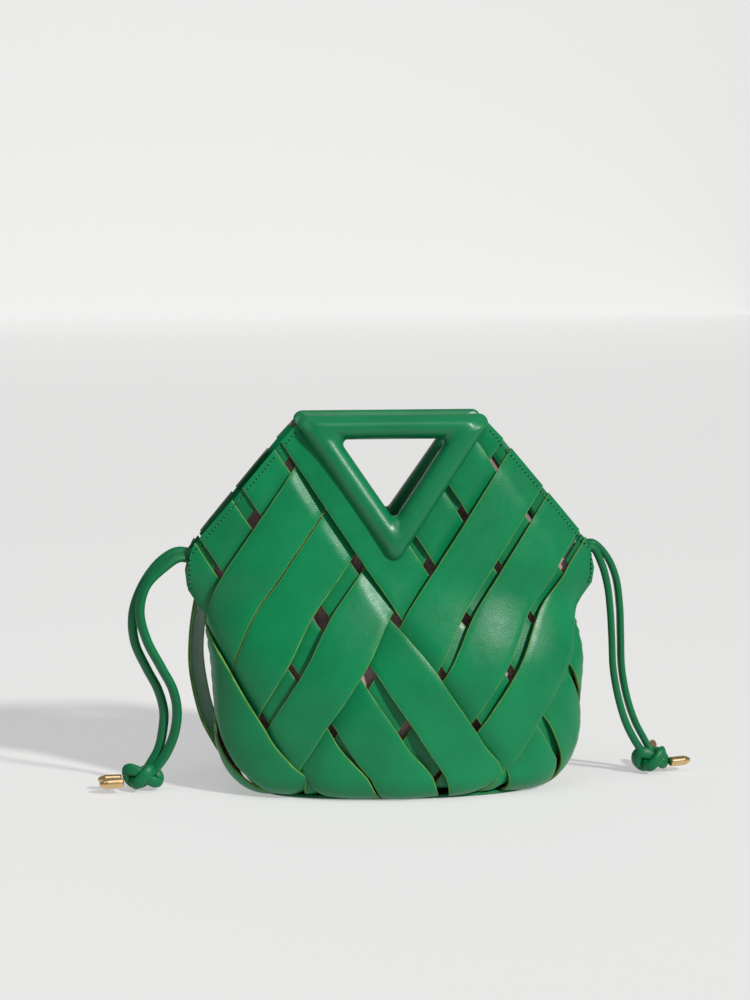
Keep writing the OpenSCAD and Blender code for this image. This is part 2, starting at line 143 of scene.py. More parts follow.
def smooth_line(points: Sequence[Sequence[float]], step: float, closed: bool = False) -> Array:
    """Runs one smooth curve through a few points.

    Args:
        points: The points that the curve passes, in order.
        step: Wanted distance between the curve's own points.
        closed: True if the curve returns to its first point.

    Returns:
        Evenly spaced points on a centripetal curve, one row each.
    """
    knots = np.array(points, float)
    count = len(knots)
    pad = (np.vstack([knots[-1], knots, knots[:2]]) if closed
           else np.vstack([2 * knots[0] - knots[1], knots, 2 * knots[-1] - knots[-2]]))
    dense = []
    for k in range(count if closed else count - 1):
        p0, p1, p2, p3 = pad[k:k + 4]
        t01, t12, t23 = (math.sqrt(max(np.linalg.norm(b - a), 1e-9))
                         for a, b in ((p0, p1), (p1, p2), (p2, p3)))
        m1 = (p2 - p1) + t12 * ((p1 - p0) / t01 - (p2 - p0) / (t01 + t12))
        m2 = (p2 - p1) + t12 * ((p3 - p2) / t23 - (p3 - p1) / (t12 + t23))
        t = np.linspace(0, 1, 33)[:-1, None]
        dense.append((2 * t**3 - 3 * t**2 + 1) * p1 + (t**3 - 2 * t**2 + t) * m1
                     + (3 * t**2 - 2 * t**3) * p2 + (t**3 - t**2) * m2)
    line = np.vstack([*dense, knots[:1] if closed else knots[-1:]])
    run = np.concatenate([[0], np.cumsum(np.linalg.norm(np.diff(line, axis=0), axis=1))])
    places = np.linspace(0, run[-1], max(int(round(run[-1] / step)), 2) + 1)
    return np.stack([np.interp(places, run, line[:, k]) for k in range(line.shape[1])], axis=1)


def line_length(points: Array) -> float:
    """Length of a line of points.

    Args:
        points: Points along the line, one row each.

    Returns:
        The length, in the unit of the points.
    """
    return float(np.linalg.norm(np.diff(points, axis=0), axis=1).sum())


# ---------- meshes ----------


def new_object(name: str, points: Array, faces: list[tuple[int, ...]],
               materials: Sequence[bpy.types.Material], slots: Sequence[int] | None = None,
               sharp: float | None = 40.0) -> bpy.types.Object:
    """Makes a mesh object at the origin and links it to the scene.

    Args:
        name: Name of the piece.
        points: Points in metres, one row each.
        faces: Point numbers of each face, seen anticlockwise from outside.
        materials: The piece's materials in slot order.
        slots: Material slot of each face, or None for the first one.
        sharp: Angle in degrees past which an edge stays sharp, or None for an all smooth piece.

    Returns:
        The new object.
    """
    mesh = bpy.data.meshes.new(name)
    mesh.from_pydata(np.asarray(points).reshape(-1, 3).tolist(), [], faces)
    for material in materials:
        mesh.materials.append(material)
    if slots is not None:
        mesh.polygons.foreach_set("material_index", np.array(slots, np.int32))
    mesh.validate()
    mesh.shade_smooth()
    if sharp is not None:
        mesh.set_sharp_from_angle(angle=math.radians(sharp))
    piece = bpy.data.objects.new(name, mesh)
    bpy.context.scene.collection.objects.link(piece)
    return piece


def point_outwards(piece: bpy.types.Object) -> None:
    """Turns the faces of a closed piece to the outside.

    Args:
        piece: A closed piece, changed in place.
    """
    work = bmesh.new()
    work.from_mesh(piece.data)
    bmesh.ops.remove_doubles(work, verts=work.verts, dist=1e-7)
    bmesh.ops.recalc_face_normals(work, faces=work.faces)
    work.to_mesh(piece.data)
    work.free()


def swept_faces(rings: int, sides: int, closed: bool, caps: bool = True) -> list[tuple[int, ...]]:
    """Faces between a row of equal rings.

    Args:
        rings: Number of rings.
        sides: Points in a ring.
        closed: True if the last ring joins the first one.
        caps: True if an open row gets an end face at both ends.

    Returns:
        The faces, wall first and caps last.
    """
    faces: list[tuple[int, ...]] = []
    for i in range(rings if closed else rings - 1):
        low, high = i * sides, ((i + 1) % rings) * sides
        faces += [(low + j, low + (j + 1) % sides, high + (j + 1) % sides, high + j)
                  for j in range(sides)]
    if not closed and caps:
        faces.append(tuple(range(sides - 1, -1, -1)))
        faces.append(tuple((rings - 1) * sides + j for j in range(sides)))
    return faces


def carried_frames(line: Array, start_side: Sequence[float]) -> tuple[Array, Array, Array]:
    """Directions carried along a line without twist.

    Args:
        line: Points of the line.
        start_side: Rough sideways direction at the first point.

    Returns:
        Unit vectors along, across and up, one row for each point.
    """
    along = unit(np.gradient(line, axis=0))
    across = np.zeros_like(line)
    side = np.array(start_side, float)
    for k, way in enumerate(along):
        side = side - way * (side @ way)
        side /= np.linalg.norm(side)
        across[k] = side
    return along, across, np.cross(along, across)


# ---------- finishes ----------


class NodeBench:
    """A short way to lay out the nodes of one material."""

    def __init__(self, name: str) -> None:
        """Starts a material that has one Principled shader.

        Args:
            name: Name of the material.
        """
        self.material = bpy.data.materials.new(name)
        self.material.use_nodes = True
        self.tree = self.material.node_tree
        self.shader = self.tree.nodes["Principled BSDF"]

    def add(self, kind: str, **inputs: object) -> bpy.types.Node:
        """Adds a node and sets or links its inputs, named with _ for a space.

        Args:
            kind: Type of the node.
            **inputs: Value or socket of each input.

        Returns:
            The node.
        """
        node = self.tree.nodes.new(kind)
        for name, value in inputs.items():
            self.put(node, name.replace("_", " "), value)
        return node

    def put(self, node: bpy.types.Node, name: str, value: object) -> None:
        """Sets one input of a node, or links a socket into it.

        Args:
            node: The node.
            name: Name of its input.
            value: A value, or a socket to link.
        """
        if isinstance(value, bpy.types.NodeSocket):
            self.tree.links.new(value, node.inputs[name])
        else:
            node.inputs[name].default_value = value

    def place(self) -> bpy.types.NodeSocket:
        """Object coordinates.

        Returns:
            The socket.
        """
        return self.add("ShaderNodeTexCoord").outputs["Object"]

    def noise(self, scale: float, detail: float = 3.0, rough: float = 0.5) -> bpy.types.NodeSocket:
        """Value of a noise of the given scale, in waves for each metre.

        Args:
            scale: Waves for each metre.
            detail: Number of finer layers.
            rough: Weight of the finer layers.

        Returns:
            The socket.
        """
        node = self.add("ShaderNodeTexNoise", Vector=self.place(), Scale=scale, Detail=detail,
                        Roughness=rough)
        return node.outputs["Fac"]

    def ramp(self, factor: bpy.types.NodeSocket,
             stops: Sequence[tuple[float, Sequence[float]]]) -> bpy.types.NodeSocket:
        """Colour that follows a factor through the given stops.

        Args:
            factor: Socket to follow.
            stops: Place and colour of each stop.

        Returns:
            The colour socket.
        """
        node = self.add("ShaderNodeValToRGB", Fac=factor)
        band = node.color_ramp
        while len(band.elements) < len(stops):
            band.elements.new(0.5)
        for element, (position, colour) in zip(band.elements, stops):
            element.position = position
            element.color = (*colour, 1.0)
        return node.outputs["Color"]

    def level(self, factor: bpy.types.NodeSocket, low: float, high: float) -> bpy.types.NodeSocket:
        """Turns a noise value from about 0.3..0.7 into low..high.

        Args:
            factor: Socket of the noise.
            low: Value at its low end.
            high: Value at its high end.

        Returns:
            The socket.
        """
        node = self.add("ShaderNodeMapRange", Value=factor)
        for name, value in (("From Min", 0.3), ("From Max", 0.7), ("To Min", low),
                            ("To Max", high)):
            node.inputs[name].default_value = value
        return node.outputs["Result"]

    def bump(self, height: bpy.types.NodeSocket, strength: float, depth: float,
             below: bpy.types.NodeSocket | None = None) -> bpy.types.NodeSocket:
        """Bumped normal of a height field, on top of another bump if one is given.

        Args:
            height: Socket of the height field.
            strength: Share of the bump that shows.
            depth: Height of the bump in metres.
            below: Normal of the bump beneath it, or None.

        Returns:
            The normal socket.
        """
        node = self.add("ShaderNodeBump", Height=height, Strength=strength, Distance=depth)
        if below is not None:
            self.put(node, "Normal", below)
        return node.outputs["Normal"]


@dataclass(frozen=True)
class Leather:
    """Dyed calf leather with a fine pebble grain and a satin top coat."""

    name: str
    tone: tuple[float, float, float]
    shade: float = 0.86
    gloss: tuple[float, float] = (0.31, 0.41)
    shine: float = 0.26
    pebble_mm: float = 0.8
    grain: float = 0.45
    wave: float = 0.25

    def make(self) -> bpy.types.Material:
        """Builds the material.

        Returns:
            The material.
        """
        bench = NodeBench(self.name)
        dark = tuple(c * self.shade for c in self.tone)
        pale = tuple(min(c * (2 - self.shade), 1.0) for c in self.tone)
        bench.put(bench.shader, "Base Color", bench.ramp(
            bench.noise(22.0, 4.0), [(0.3, dark), (0.5, self.tone), (0.72, pale)]))
        bench.put(bench.shader, "Roughness", bench.level(bench.noise(160.0, 4.0), *self.gloss))
        pebbles = bench.add("ShaderNodeTexVoronoi", Vector=bench.place(),
                            Scale=1000 / self.pebble_mm)
        pebbles.feature = "SMOOTH_F1"
        soft = bench.bump(bench.noise(95.0, 3.0), self.wave, 0.0006)
        fine = bench.bump(pebbles.outputs["Distance"], self.grain, 0.00018, soft)
        bench.put(bench.shader, "Normal", fine)
        bench.shader.inputs["Specular IOR Level"].default_value = self.shine
        return bench.material


@dataclass(frozen=True)
class Nap:
    """A matt, slightly fibrous surface: suede, cut leather, board, foam or cloth."""

    name: str
    dark: tuple[float, float, float]
    pale: tuple[float, float, float]
    fibre: float = 900.0
    rough: float = 0.85
    sheen: float = 0.0
    depth: float = 0.0002
    shine: float = 0.25

    def make(self) -> bpy.types.Material:
        """Builds the material.

        Returns:
            The material.
        """
        bench = NodeBench(self.name)
        bench.put(bench.shader, "Base Color", bench.ramp(
            bench.noise(self.fibre * 0.12, 5.0, 0.65), [(0.32, self.dark), (0.68, self.pale)]))
        bench.put(bench.shader, "Normal", bench.bump(bench.noise(self.fibre, 4.0, 0.7), 0.5,
                                                     self.depth))
        bench.shader.inputs["Roughness"].default_value = self.rough
        bench.shader.inputs["Sheen Weight"].default_value = self.sheen
        bench.shader.inputs["Specular IOR Level"].default_value = self.shine
        return bench.material


@dataclass(frozen=True)
class Gilt:
    """Pale gold plating with faint turning marks."""

    name: str = "pale_gold"
    tone: tuple[float, float, float] = (0.79, 0.55, 0.28)

    def make(self) -> bpy.types.Material:
        """Builds the material.

        Returns:
            The material.
        """
        bench = NodeBench(self.name)
        bench.shader.inputs["Metallic"].default_value = 1.0
        bench.put(bench.shader, "Base Color", bench.ramp(
            bench.noise(120.0), [(0.3, tuple(0.86 * c for c in self.tone)), (0.7, self.tone)]))
        bench.put(bench.shader, "Roughness", bench.level(bench.noise(700.0), 0.2, 0.32))
        bench.put(bench.shader, "Normal", bench.bump(bench.noise(1500.0, 2.0), 0.12, 0.0001))
        return bench.material


@dataclass(frozen=True)
class Paper:
    """Seamless studio paper."""

    name: str
    tone: float
    glow: float

    def make(self) -> bpy.types.Material:
        """Builds the material.

        Returns:
            The material.
        """
        bench = NodeBench(self.name)
        bench.put(bench.shader, "Base Color", bench.ramp(
            bench.noise(3.0), [(0.0, (self.tone,) * 3), (1.0, (self.tone * 1.005,) * 3)]))
        bench.shader.inputs["Roughness"].default_value = 0.9
        bench.shader.inputs["Specular IOR Level"].default_value = 0.1
        bench.shader.inputs["Emission Color"].default_value = (1, 1, 1, 1)
        bench.shader.inputs["Emission Strength"].default_value = self.glow
        return bench.material


@dataclass
class Finishes:
    """Every finish on the bag, made once."""

    face: bpy.types.Material = field(default_factory=Leather(
        "strip_face", (0.001, 0.168, 0.058)).make)
    edge: bpy.types.Material = field(default_factory=Nap(
        "cut_edge", (0.055, 0.155, 0.028), (0.125, 0.29, 0.065), rough=0.6, depth=0.0001).make)
    reverse: bpy.types.Material = field(default_factory=Nap(
        "strip_reverse", (0.24, 0.165, 0.16), (0.34, 0.24, 0.235)).make)
    # Darker copy of the strip leather: painted shade for the rim bands under the strips' ends and
    # for the base panel at the foot.
    band: bpy.types.Material = field(default_factory=Leather(
        "band_leather", (0.001, 0.135, 0.046)).make)
    handle: bpy.types.Material = field(default_factory=Leather(
        "handle_leather", (0.001, 0.150, 0.053), gloss=(0.30, 0.38), shine=0.40,
        grain=0.3).make)
    cord: bpy.types.Material = field(default_factory=Leather(
        "cord_leather", (0.001, 0.125, 0.042), pebble_mm=0.5, gloss=(0.34, 0.46)).make)
    thread: bpy.types.Material = field(default_factory=Nap(
        "sewing_thread", (0.012, 0.20, 0.08), (0.04, 0.30, 0.13), fibre=4000.0,
        rough=0.55).make)
    # Near-black beads between the stitches: painted shade of the needle holes, which are not cut
    # into the surface.
    hole: bpy.types.Material = field(default_factory=Nap(
        "needle_hole", (0.002, 0.03, 0.012), (0.004, 0.05, 0.02), rough=0.9).make)
    cloth: bpy.types.Material = field(default_factory=Nap(
        "pouch_cloth", (0.40, 0.29, 0.28), (0.56, 0.43, 0.42), fibre=1600.0, rough=0.95,
        sheen=0.3).make)
    board: bpy.types.Material = field(default_factory=Nap(
        "pressed_board", (0.06, 0.05, 0.04), (0.13, 0.11, 0.09), fibre=500.0).make)
    foam: bpy.types.Material = field(default_factory=Nap(
        "handle_foam", (0.62, 0.58, 0.47), (0.78, 0.75, 0.65), fibre=700.0).make)
    backing: bpy.types.Material = field(default_factory=Nap(
        "strap_backing", (0.020, 0.028, 0.022), (0.036, 0.046, 0.037), rough=0.95,
        shine=0.0).make)
    gold: bpy.types.Material = field(default_factory=Gilt().make)


# ---------- the bag's surface ----------


@dataclass(frozen=True)
class BodyShape:
    """The smooth surface that the strips lie on, in millimetres.

    A place on it is s round the body and h up it, both measured along the weave.
    """

    quarter_girth: float = 147.0
    body_half_width: float = 121.5
    ear_half_width: float = 144.0
    body_half_depth: float = 41.0
    lean: float = 6.0
    base_level: float = 8.4
    foot_front: tuple[float, float] = (9.0, 9.0)
    foot_side: tuple[float, float] = (28.0, 41.6)
    ear_slot: float = 7.5

    def half_width(self, z: Array) -> Array:
        """Half width at a height.

        Args:
            z: Heights.

        Returns:
            Half widths.
        """
        return (self.body_half_width + 4.5 * smooth((z - 50) / 60)
                + 2.5 * np.exp(-(((z - 134) / 16) ** 2))
                + (self.ear_half_width - self.body_half_width - 4.5) * smooth((z - 128) / 29))

    def half_depth(self, z: Array) -> Array:
        """Half depth at a height.

        Args:
            z: Heights.

        Returns:
            Half depths.
        """
        return (self.body_half_depth + 4 * smooth((z - 15) / 35) - 19 * smooth((z - 75) / 95)
                - 11 * np.maximum(z - 165, 0) / 99)

    def lean_at(self, z: Array) -> Array:
        """Sideways lean at a height.

        Args:
            z: Heights.

        Returns:
            Sideways distances.
        """
        return self.lean * (1 - smooth((z - 88) / 45))

    def foot_turn(self, h: Array, radii: tuple[float, float]) -> tuple[Array, Array]:
        """Height and inset of the foot's bend.

        Args:
            h: Places up the weave.
            radii: Radii of the bend, inwards and upwards.

        Returns:
            Heights, and distances inside the upright wall.
        """
        inwards, upwards = radii
        length = math.pi / 2 * math.hypot(*radii) / math.sqrt(2)
        top = self.base_level + upwards
        turn = math.pi / 2 * np.clip((top - h) / length, 0, 1)
        past = np.maximum(top - length - h, 0)
        return (np.where(h > top, h, top - upwards * np.sin(turn)),
                np.where(h > top, 0, inwards * (1 - np.cos(turn)) + past))

    @staticmethod
    def arc_rate(turn: Array, a: Array, b: Array) -> Array:
        """How fast an oval's outline runs at an angle.

        Args:
            turn: Angles from the flat side.
            a: Half widths of the oval.
            b: Half depths.

        Returns:
            Length for each radian.
        """
        return np.hypot(a * np.cos(turn), b * np.sin(turn))

    def arc_length(self, turn: Array, a: Array, b: Array) -> Array:
        """Length of an oval's outline from its flat side to an angle.

        Args:
            turn: Angles from the flat side.
            a: Half widths of the oval.
            b: Half depths.

        Returns:
            Lengths of the outline.
        """
        rate = self.arc_rate
        return turn / 12 * (a + 4 * rate(turn / 4, a, b) + 2 * rate(turn / 2, a, b)
                            + 4 * rate(3 * turn / 4, a, b) + rate(turn, a, b))

    def half_section(self, t: Array, a: Array, b: Array, z: Array) -> tuple[Array, Array]:
        """Outline of one half of a level section.

        Args:
            t: Places along the outline, from -1 to 1.
            a: Half widths.
            b: Half depths.
            z: Heights.

        Returns:
            The sideways places, and the depths.
        """
        far, share = np.abs(t), smooth((z - 85) / 72)
        quarter = self.arc_length(np.full_like(a, math.pi / 2), a, b)
        pull = np.minimum(self.quarter_girth / quarter, 1.12)
        goal = far * (pull - (pull - 1) * far**4) * quarter
        turn = math.pi / 2 * far * (0.75 + 0.25 * far * far)
        for _ in range(3):
            turn = turn - (self.arc_length(turn, a, b) - goal) / self.arc_rate(turn, a, b)
        slot = self.ear_slot * smooth((z - 136) / 26)
        power = 2 + 1.4 * smooth((z - 165) / 90)
        lens_x = far * mix(self.ear_half_width, a, far**4)
        lens_y = slot + (b - slot) * (1 - far**power)
        return (np.sign(t) * mix(a * np.sin(turn), lens_x, share),
                mix(b * np.cos(turn), lens_y, share))

    def skin(self, s: Array, h: Array, side: int) -> Array:
        """Points of the surface.

        Args:
            s: Places round the body, 0 at the middle of this side.
            h: Places up the weave.
            side: 1 in front and -1 behind.

        Returns:
            One point for each place.
        """
        turned = (s + self.quarter_girth) / (2 * self.quarter_girth)
        lap = np.floor(turned)
        t = 2 * (turned - lap) - 1
        face = np.where(lap % 2 == 1, -side, side)
        front_z, front_in = self.foot_turn(h, self.foot_front)
        side_z, side_in = self.foot_turn(h, self.foot_side)
        z = mix(front_z, side_z, np.sin(math.pi / 2 * np.abs(t)) ** 2)
        x, y = self.half_section(t, self.half_width(z) - side_in, self.half_depth(z) - front_in, z)
        return np.stack([face * x + self.lean_at(z), -face * y, z], axis=-1)

    def off_skin(self, s: Array, h: Array, side: int, off: Array) -> Array:
        """Points at a distance outside the surface.

        Args:
            s: Places round the body from its middle.
            h: Places up the weave.
            side: 1 for the front and -1 for the back.
            off: Distances outside the surface.

        Returns:
            The points in millimetres.
        """
        reach = 0.6
        round_way = self.skin(s + reach, h, side) - self.skin(s - reach, h, side)
        up_way = self.skin(s, h + reach, side) - self.skin(s, h - reach, side)
        return self.skin(s, h, side) + off[..., None] * unit(np.cross(round_way, up_way))

    def section(self, z: float, cut_x: float, cut_y: float, count: int) -> Array:
        """Outline of a level cut, drawn in from the surface.

        Args:
            z: Height of the cut.
            cut_x: Distance inside the surface at the sides.
            cut_y: Distance inside it in front and behind.
            count: Points on each half of the outline.

        Returns:
            Points [x, y], anticlockwise from above.
        """
        rise = self.base_level
        front = np.clip((rise + self.foot_front[1] - z) / self.foot_front[1], 0, 1)
        flank = np.clip((rise + self.foot_side[1] - z) / self.foot_side[1], 0, 1)
        a = self.half_width(z) - self.foot_side[0] * (1 - math.sqrt(1 - flank**2)) - cut_x
        b = self.half_depth(z) - self.foot_front[0] * (1 - math.sqrt(1 - front**2)) - cut_y
        t = 2 * np.arange(count) / count - 1
        t[0] = -0.999
        level = np.full(count, float(z))
        x, y = self.half_section(t, np.full(count, float(a)), np.full(count, float(b)), level)
        lean = self.lean_at(level)
        return np.vstack([np.stack([x + lean, -y], 1), np.stack([-x + lean, y], 1)])


BODY = BodyShape()


# ---------- the weave ----------


@dataclass(frozen=True)
class Weave:
    """The plan of the two families of strips, in slant coordinates.

    A strip lies at p in its own family and runs along w, the other family's coordinate.
    """

    home: int = 6
    strip_width: float = 34.0
    pitch: float = 40.7
    angle: float = math.radians(56)
    leather: float = 1.8
    layer_step: float = 3.6
    centre_0: float = 31.5
    ear_s: float = 146.0
    rim_high: tuple[float, float] = (-87.3, -203.4)
    rim_low: tuple[float, float] = (18.0, -215.8)
    ear_low: tuple[float, float] = (35.5, -206.5)
    handle_edge: float = -90.0
    handle_trim: float = -92.6
    foot_end: float = -9.0
    float_rise: float = 3.4
    foot_spread: float = 0.17
    rising_drift: tuple = (1.8, -4.4, -0.8, 0.6, 0.0, 0.0, -3.0, 1.2, 0.5, 3.0, 0.5, 0.3)
    falling_drift: tuple = (0.8, -0.6, 0.0, -0.5, 3.0, 0.6, -3.0, -0.5, 0.4, -3.0, 1.0, -0.4)

    @property
    def under_at(self) -> float:
        """Middle of an under-going strip, out from the surface.

        Returns:
            The distance.
        """
        return self.leather / 2 + 0.1

    def round_at(self, p: Array, w: Array, family: Family) -> Array:
        """Place round the body of a pair of slant coordinates.

        Args:
            p: Own slant coordinates.
            w: The other family's coordinates.
            family: Family that p belongs to.

        Returns:
            Places round the body.
        """
        return family.value * (p - w) / (2 * math.sin(self.angle))

    def up_at(self, p: Array, w: Array) -> Array:
        """Place up the weave of a pair of slant coordinates.

        Args:
            p: Own slant coordinates.
            w: The other family's coordinates.

        Returns:
            Places up the weave.
        """
        return -(p + w) / (2 * math.cos(self.angle))

    def centre(self, n: Array | int) -> Array | float:
        """Slant coordinate of strip n's middle.

        Args:
            n: Number of the strip in its family.

        Returns:
            The coordinate.
        """
        return self.centre_0 - self.pitch * (self.home - n)

    def shift(self, number: int, family: Family) -> float:
        """How far a strip has slipped sideways from its place in the plan.

        Args:
            number: Number of the strip.
            family: Its family.

        Returns:
            The distance in millimetres.
        """
        drifts = self.rising_drift if family is Family.RISING else self.falling_drift
        return drifts[number - 1]

    def spread(self, n: int, w: Array) -> Array:
        """Widening of strip n towards the foot, where the strips close up.

        Args:
            n: Number of the strip.
            w: Places along it.

        Returns:
            Factors on its width.
        """
        return 1 + self.foot_spread * (1 - smooth((self.up_at(self.centre(n), w) - 5) / 24))

    def lies_over(self, n: int, k: Array, family: Family) -> Array:
        """1 where strip n runs over strip k of the other family, and -1 where it runs under.

        Args:
            n: Number of the strip.
            k: Numbers of the strips it meets.
            family: Family of strip n.

        Returns:
            1 or -1 for each crossing.
        """
        block = (n - 1) // 3 + np.floor((k - 1) / 3)
        return np.where(k <= 0, 1, np.where(block % 2 == 1, 1, -1) * family.value)

    def offset(self, n: int, p: Array, w: Array, family: Family) -> Array:
        """Middle of strip n, out from the surface.

        Args:
            n: Number of the strip in its family.
            p: Slant coordinates of the places across it.
            w: Slant coordinates of the places along it.
            family: The strip's family.

        Returns:
            Distances, larger where the strip runs over, crowned along each float.
        """
        at = self.home + (w - self.centre_0) / self.pitch
        k = np.floor(at)
        gap = self.strip_width / 2 / self.pitch
        rise = smooth((at - k - gap * 0.72) / (1 - 2 * gap * 0.72))
        over = mix(self.lies_over(n, k, family), self.lies_over(n, k + 1, family), rise)
        share = np.clip((at - 0.5) / 3 % 1, 0, 1)
        crown = np.sin(math.pi * share) ** 0.7 * np.where(at < 0.5, 0, 1)
        across = (p - self.centre(n)) / (self.strip_width / 2)
        seed = n + 7.3 * (family.value + 1)
        wander = 0.55 * ripple(w / 60, across * 0.8, seed)
        lift = self.float_rise * crown * np.clip(over, 0, 1) + wander * np.clip(over, 0, 1)
        cup = -0.35 * across**2 * np.clip(over, 0, 1)
        rim_gap = w - along_line(self.rim_high, self.rim_low, p)
        sewn = 1 - smooth(rim_gap / 26)
        held = smooth(np.minimum(rim_gap / 22, (w - self.handle_edge + 14) / 30)
                      if n <= 2 else rim_gap / 22)
        return (self.under_at + self.layer_step * (1 + over) / 2 * (1 - 0.42 * sewn)
                + (lift + cup) * held)

    def rim(self, p: Array) -> Array:
        """Where the strips at p end at the rim or the ear.

        Args:
            p: Own slant coordinates.

        Returns:
            The other family's coordinates of the ends.
        """
        return np.maximum.reduce([along_line(self.rim_high, self.rim_low, p),
                                  along_line(self.rim_low, self.ear_low, p),
                                  p - 2 * math.sin(self.angle) * self.ear_s])


def along_line(a: Sequence[float], b: Sequence[float], p: Array) -> Array:
    """Second coordinate at p on the line through two points.

    Args:
        a: First point.
        b: Second point.
        p: First coordinates to look up.

    Returns:
        The second coordinates.
    """
    return a[1] + (b[1] - a[1]) * (p - a[0]) / (b[0] - a[0])


WEAVE = Weave()


@dataclass
class WovenStrips:
    """The 24 leather strips, each one piece from its turned-in end to the rim."""

    finishes: Finishes
    step: float = 2.2
    edge_round: float = 0.55
    blend_low: float = 0.137
    blend_high: float = 0.177

    def section(self) -> tuple[Array, Array]:
        """One strip's cross-section.

        Returns:
            Places across from -1 to 1, and heights from -1 to 1 of half the thickness, as a
            closed ring that runs over the face and back along the reverse.
        """
        half = WEAVE.strip_width / 2
        r = self.edge_round
        face = [-half, -half + 0.3 * r, -half + r, -12, -6, 0, 6, 12, half - r,
                half - 0.3 * r, half]
        height = [0.35, 0.82, 1, 1, 1, 1, 1, 1, 1, 0.82, 0.35]
        back = [half, half - 0.4 * r, 8, 0, -8, -half + 0.4 * r, -half]
        return (np.array(face + back) / half,
                np.array(height + [-0.7, -1, -1, -1, -1, -1, -0.7]))

    def build(self, family: Family, number: int) -> bpy.types.Object:
        """Makes one strip. The strips at the ears ride on the basket; the others are baked where
        they are made.

        Args:
            family: The strip's family.
            number: 1 to 12. Strips 7 to 12 are those of the back.

        Returns:
            The strip.
        """
        side = Side.FRONT if number <= WEAVE.home else Side.BACK
        n = (number - 1) % WEAVE.home + 1
        across, height = self.section()
        half = WEAVE.strip_width / 2
        middle = WEAVE.centre(n) + WEAVE.shift(number, family)
        p_flat = middle + across * half
        low = -p_flat - 2 * math.cos(WEAVE.angle) * WEAVE.foot_end
        high = np.full_like(p_flat, WEAVE.handle_trim) if n <= 2 else WEAVE.rim(p_flat)
        rings = int((low.max() - high.min()) / self.step)
        share = np.linspace(0, 1, rings)[:, None]
        w = mix(low[None, :], high[None, :], share)
        p = middle + across[None, :] * half * WEAVE.spread(n, w)
        if n == 3:
            tucked = smooth((WEAVE.handle_edge - 1 - w) / 12)
            inner = mix(middle - half, WEAVE.handle_edge - 6.5, tucked)
            p = np.where(tucked > 0, mix(inner, middle + half, (across[None, :] + 1) / 2), p)
        off = WEAVE.offset(n, p, w, family) + height[None, :] * WEAVE.leather / 2
        points = BODY.off_skin(WEAVE.round_at(p, w, family), WEAVE.up_at(p, w), side.value, off)
        sides = len(across)
        faces = swept_faces(rings, sides, closed=False)
        kinds = [self.kind(j, sides) for j in range(sides)]
        slots = [kinds[j] for _ in range(rings - 1) for j in range(sides)] + [1, 1]
        if family is Family.RISING:
            faces = [face[::-1] for face in faces]
        name = f"{family.name.lower()}_strip_{number:02d}"
        piece = new_object(f"{name}_leather", points * MM, faces,
                           [self.finishes.face, self.finishes.edge, self.finishes.reverse], slots)
        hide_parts(name)
        if n == WEAVE.home:
            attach(piece, "basket")
        else:
            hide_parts(f"{side.name.lower()}_upper_{family.name.lower()}")
            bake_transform(piece)
        return piece

    @staticmethod
    def kind(j: int, sides: int) -> int:
        """Material slot of the faces between ring points j and j + 1.

        Args:
            j: Number of the ring point.
            sides: Points in a ring.

        Returns:
            0 for the face, 1 for the cut edge and 2 for the back.
        """
        face_points = 11
        if j < 2 or face_points - 3 <= j <= face_points or j == sides - 1:
            return 1
        return 0 if j < face_points - 1 else 2

    def build_all(self) -> None:
        """Makes all 24 strips."""
        for family in Family:
            for number in range(1, 2 * WEAVE.home + 1):
                LOG.info("strip %s", self.build(family, number).name)


# ---------- stitches ----------


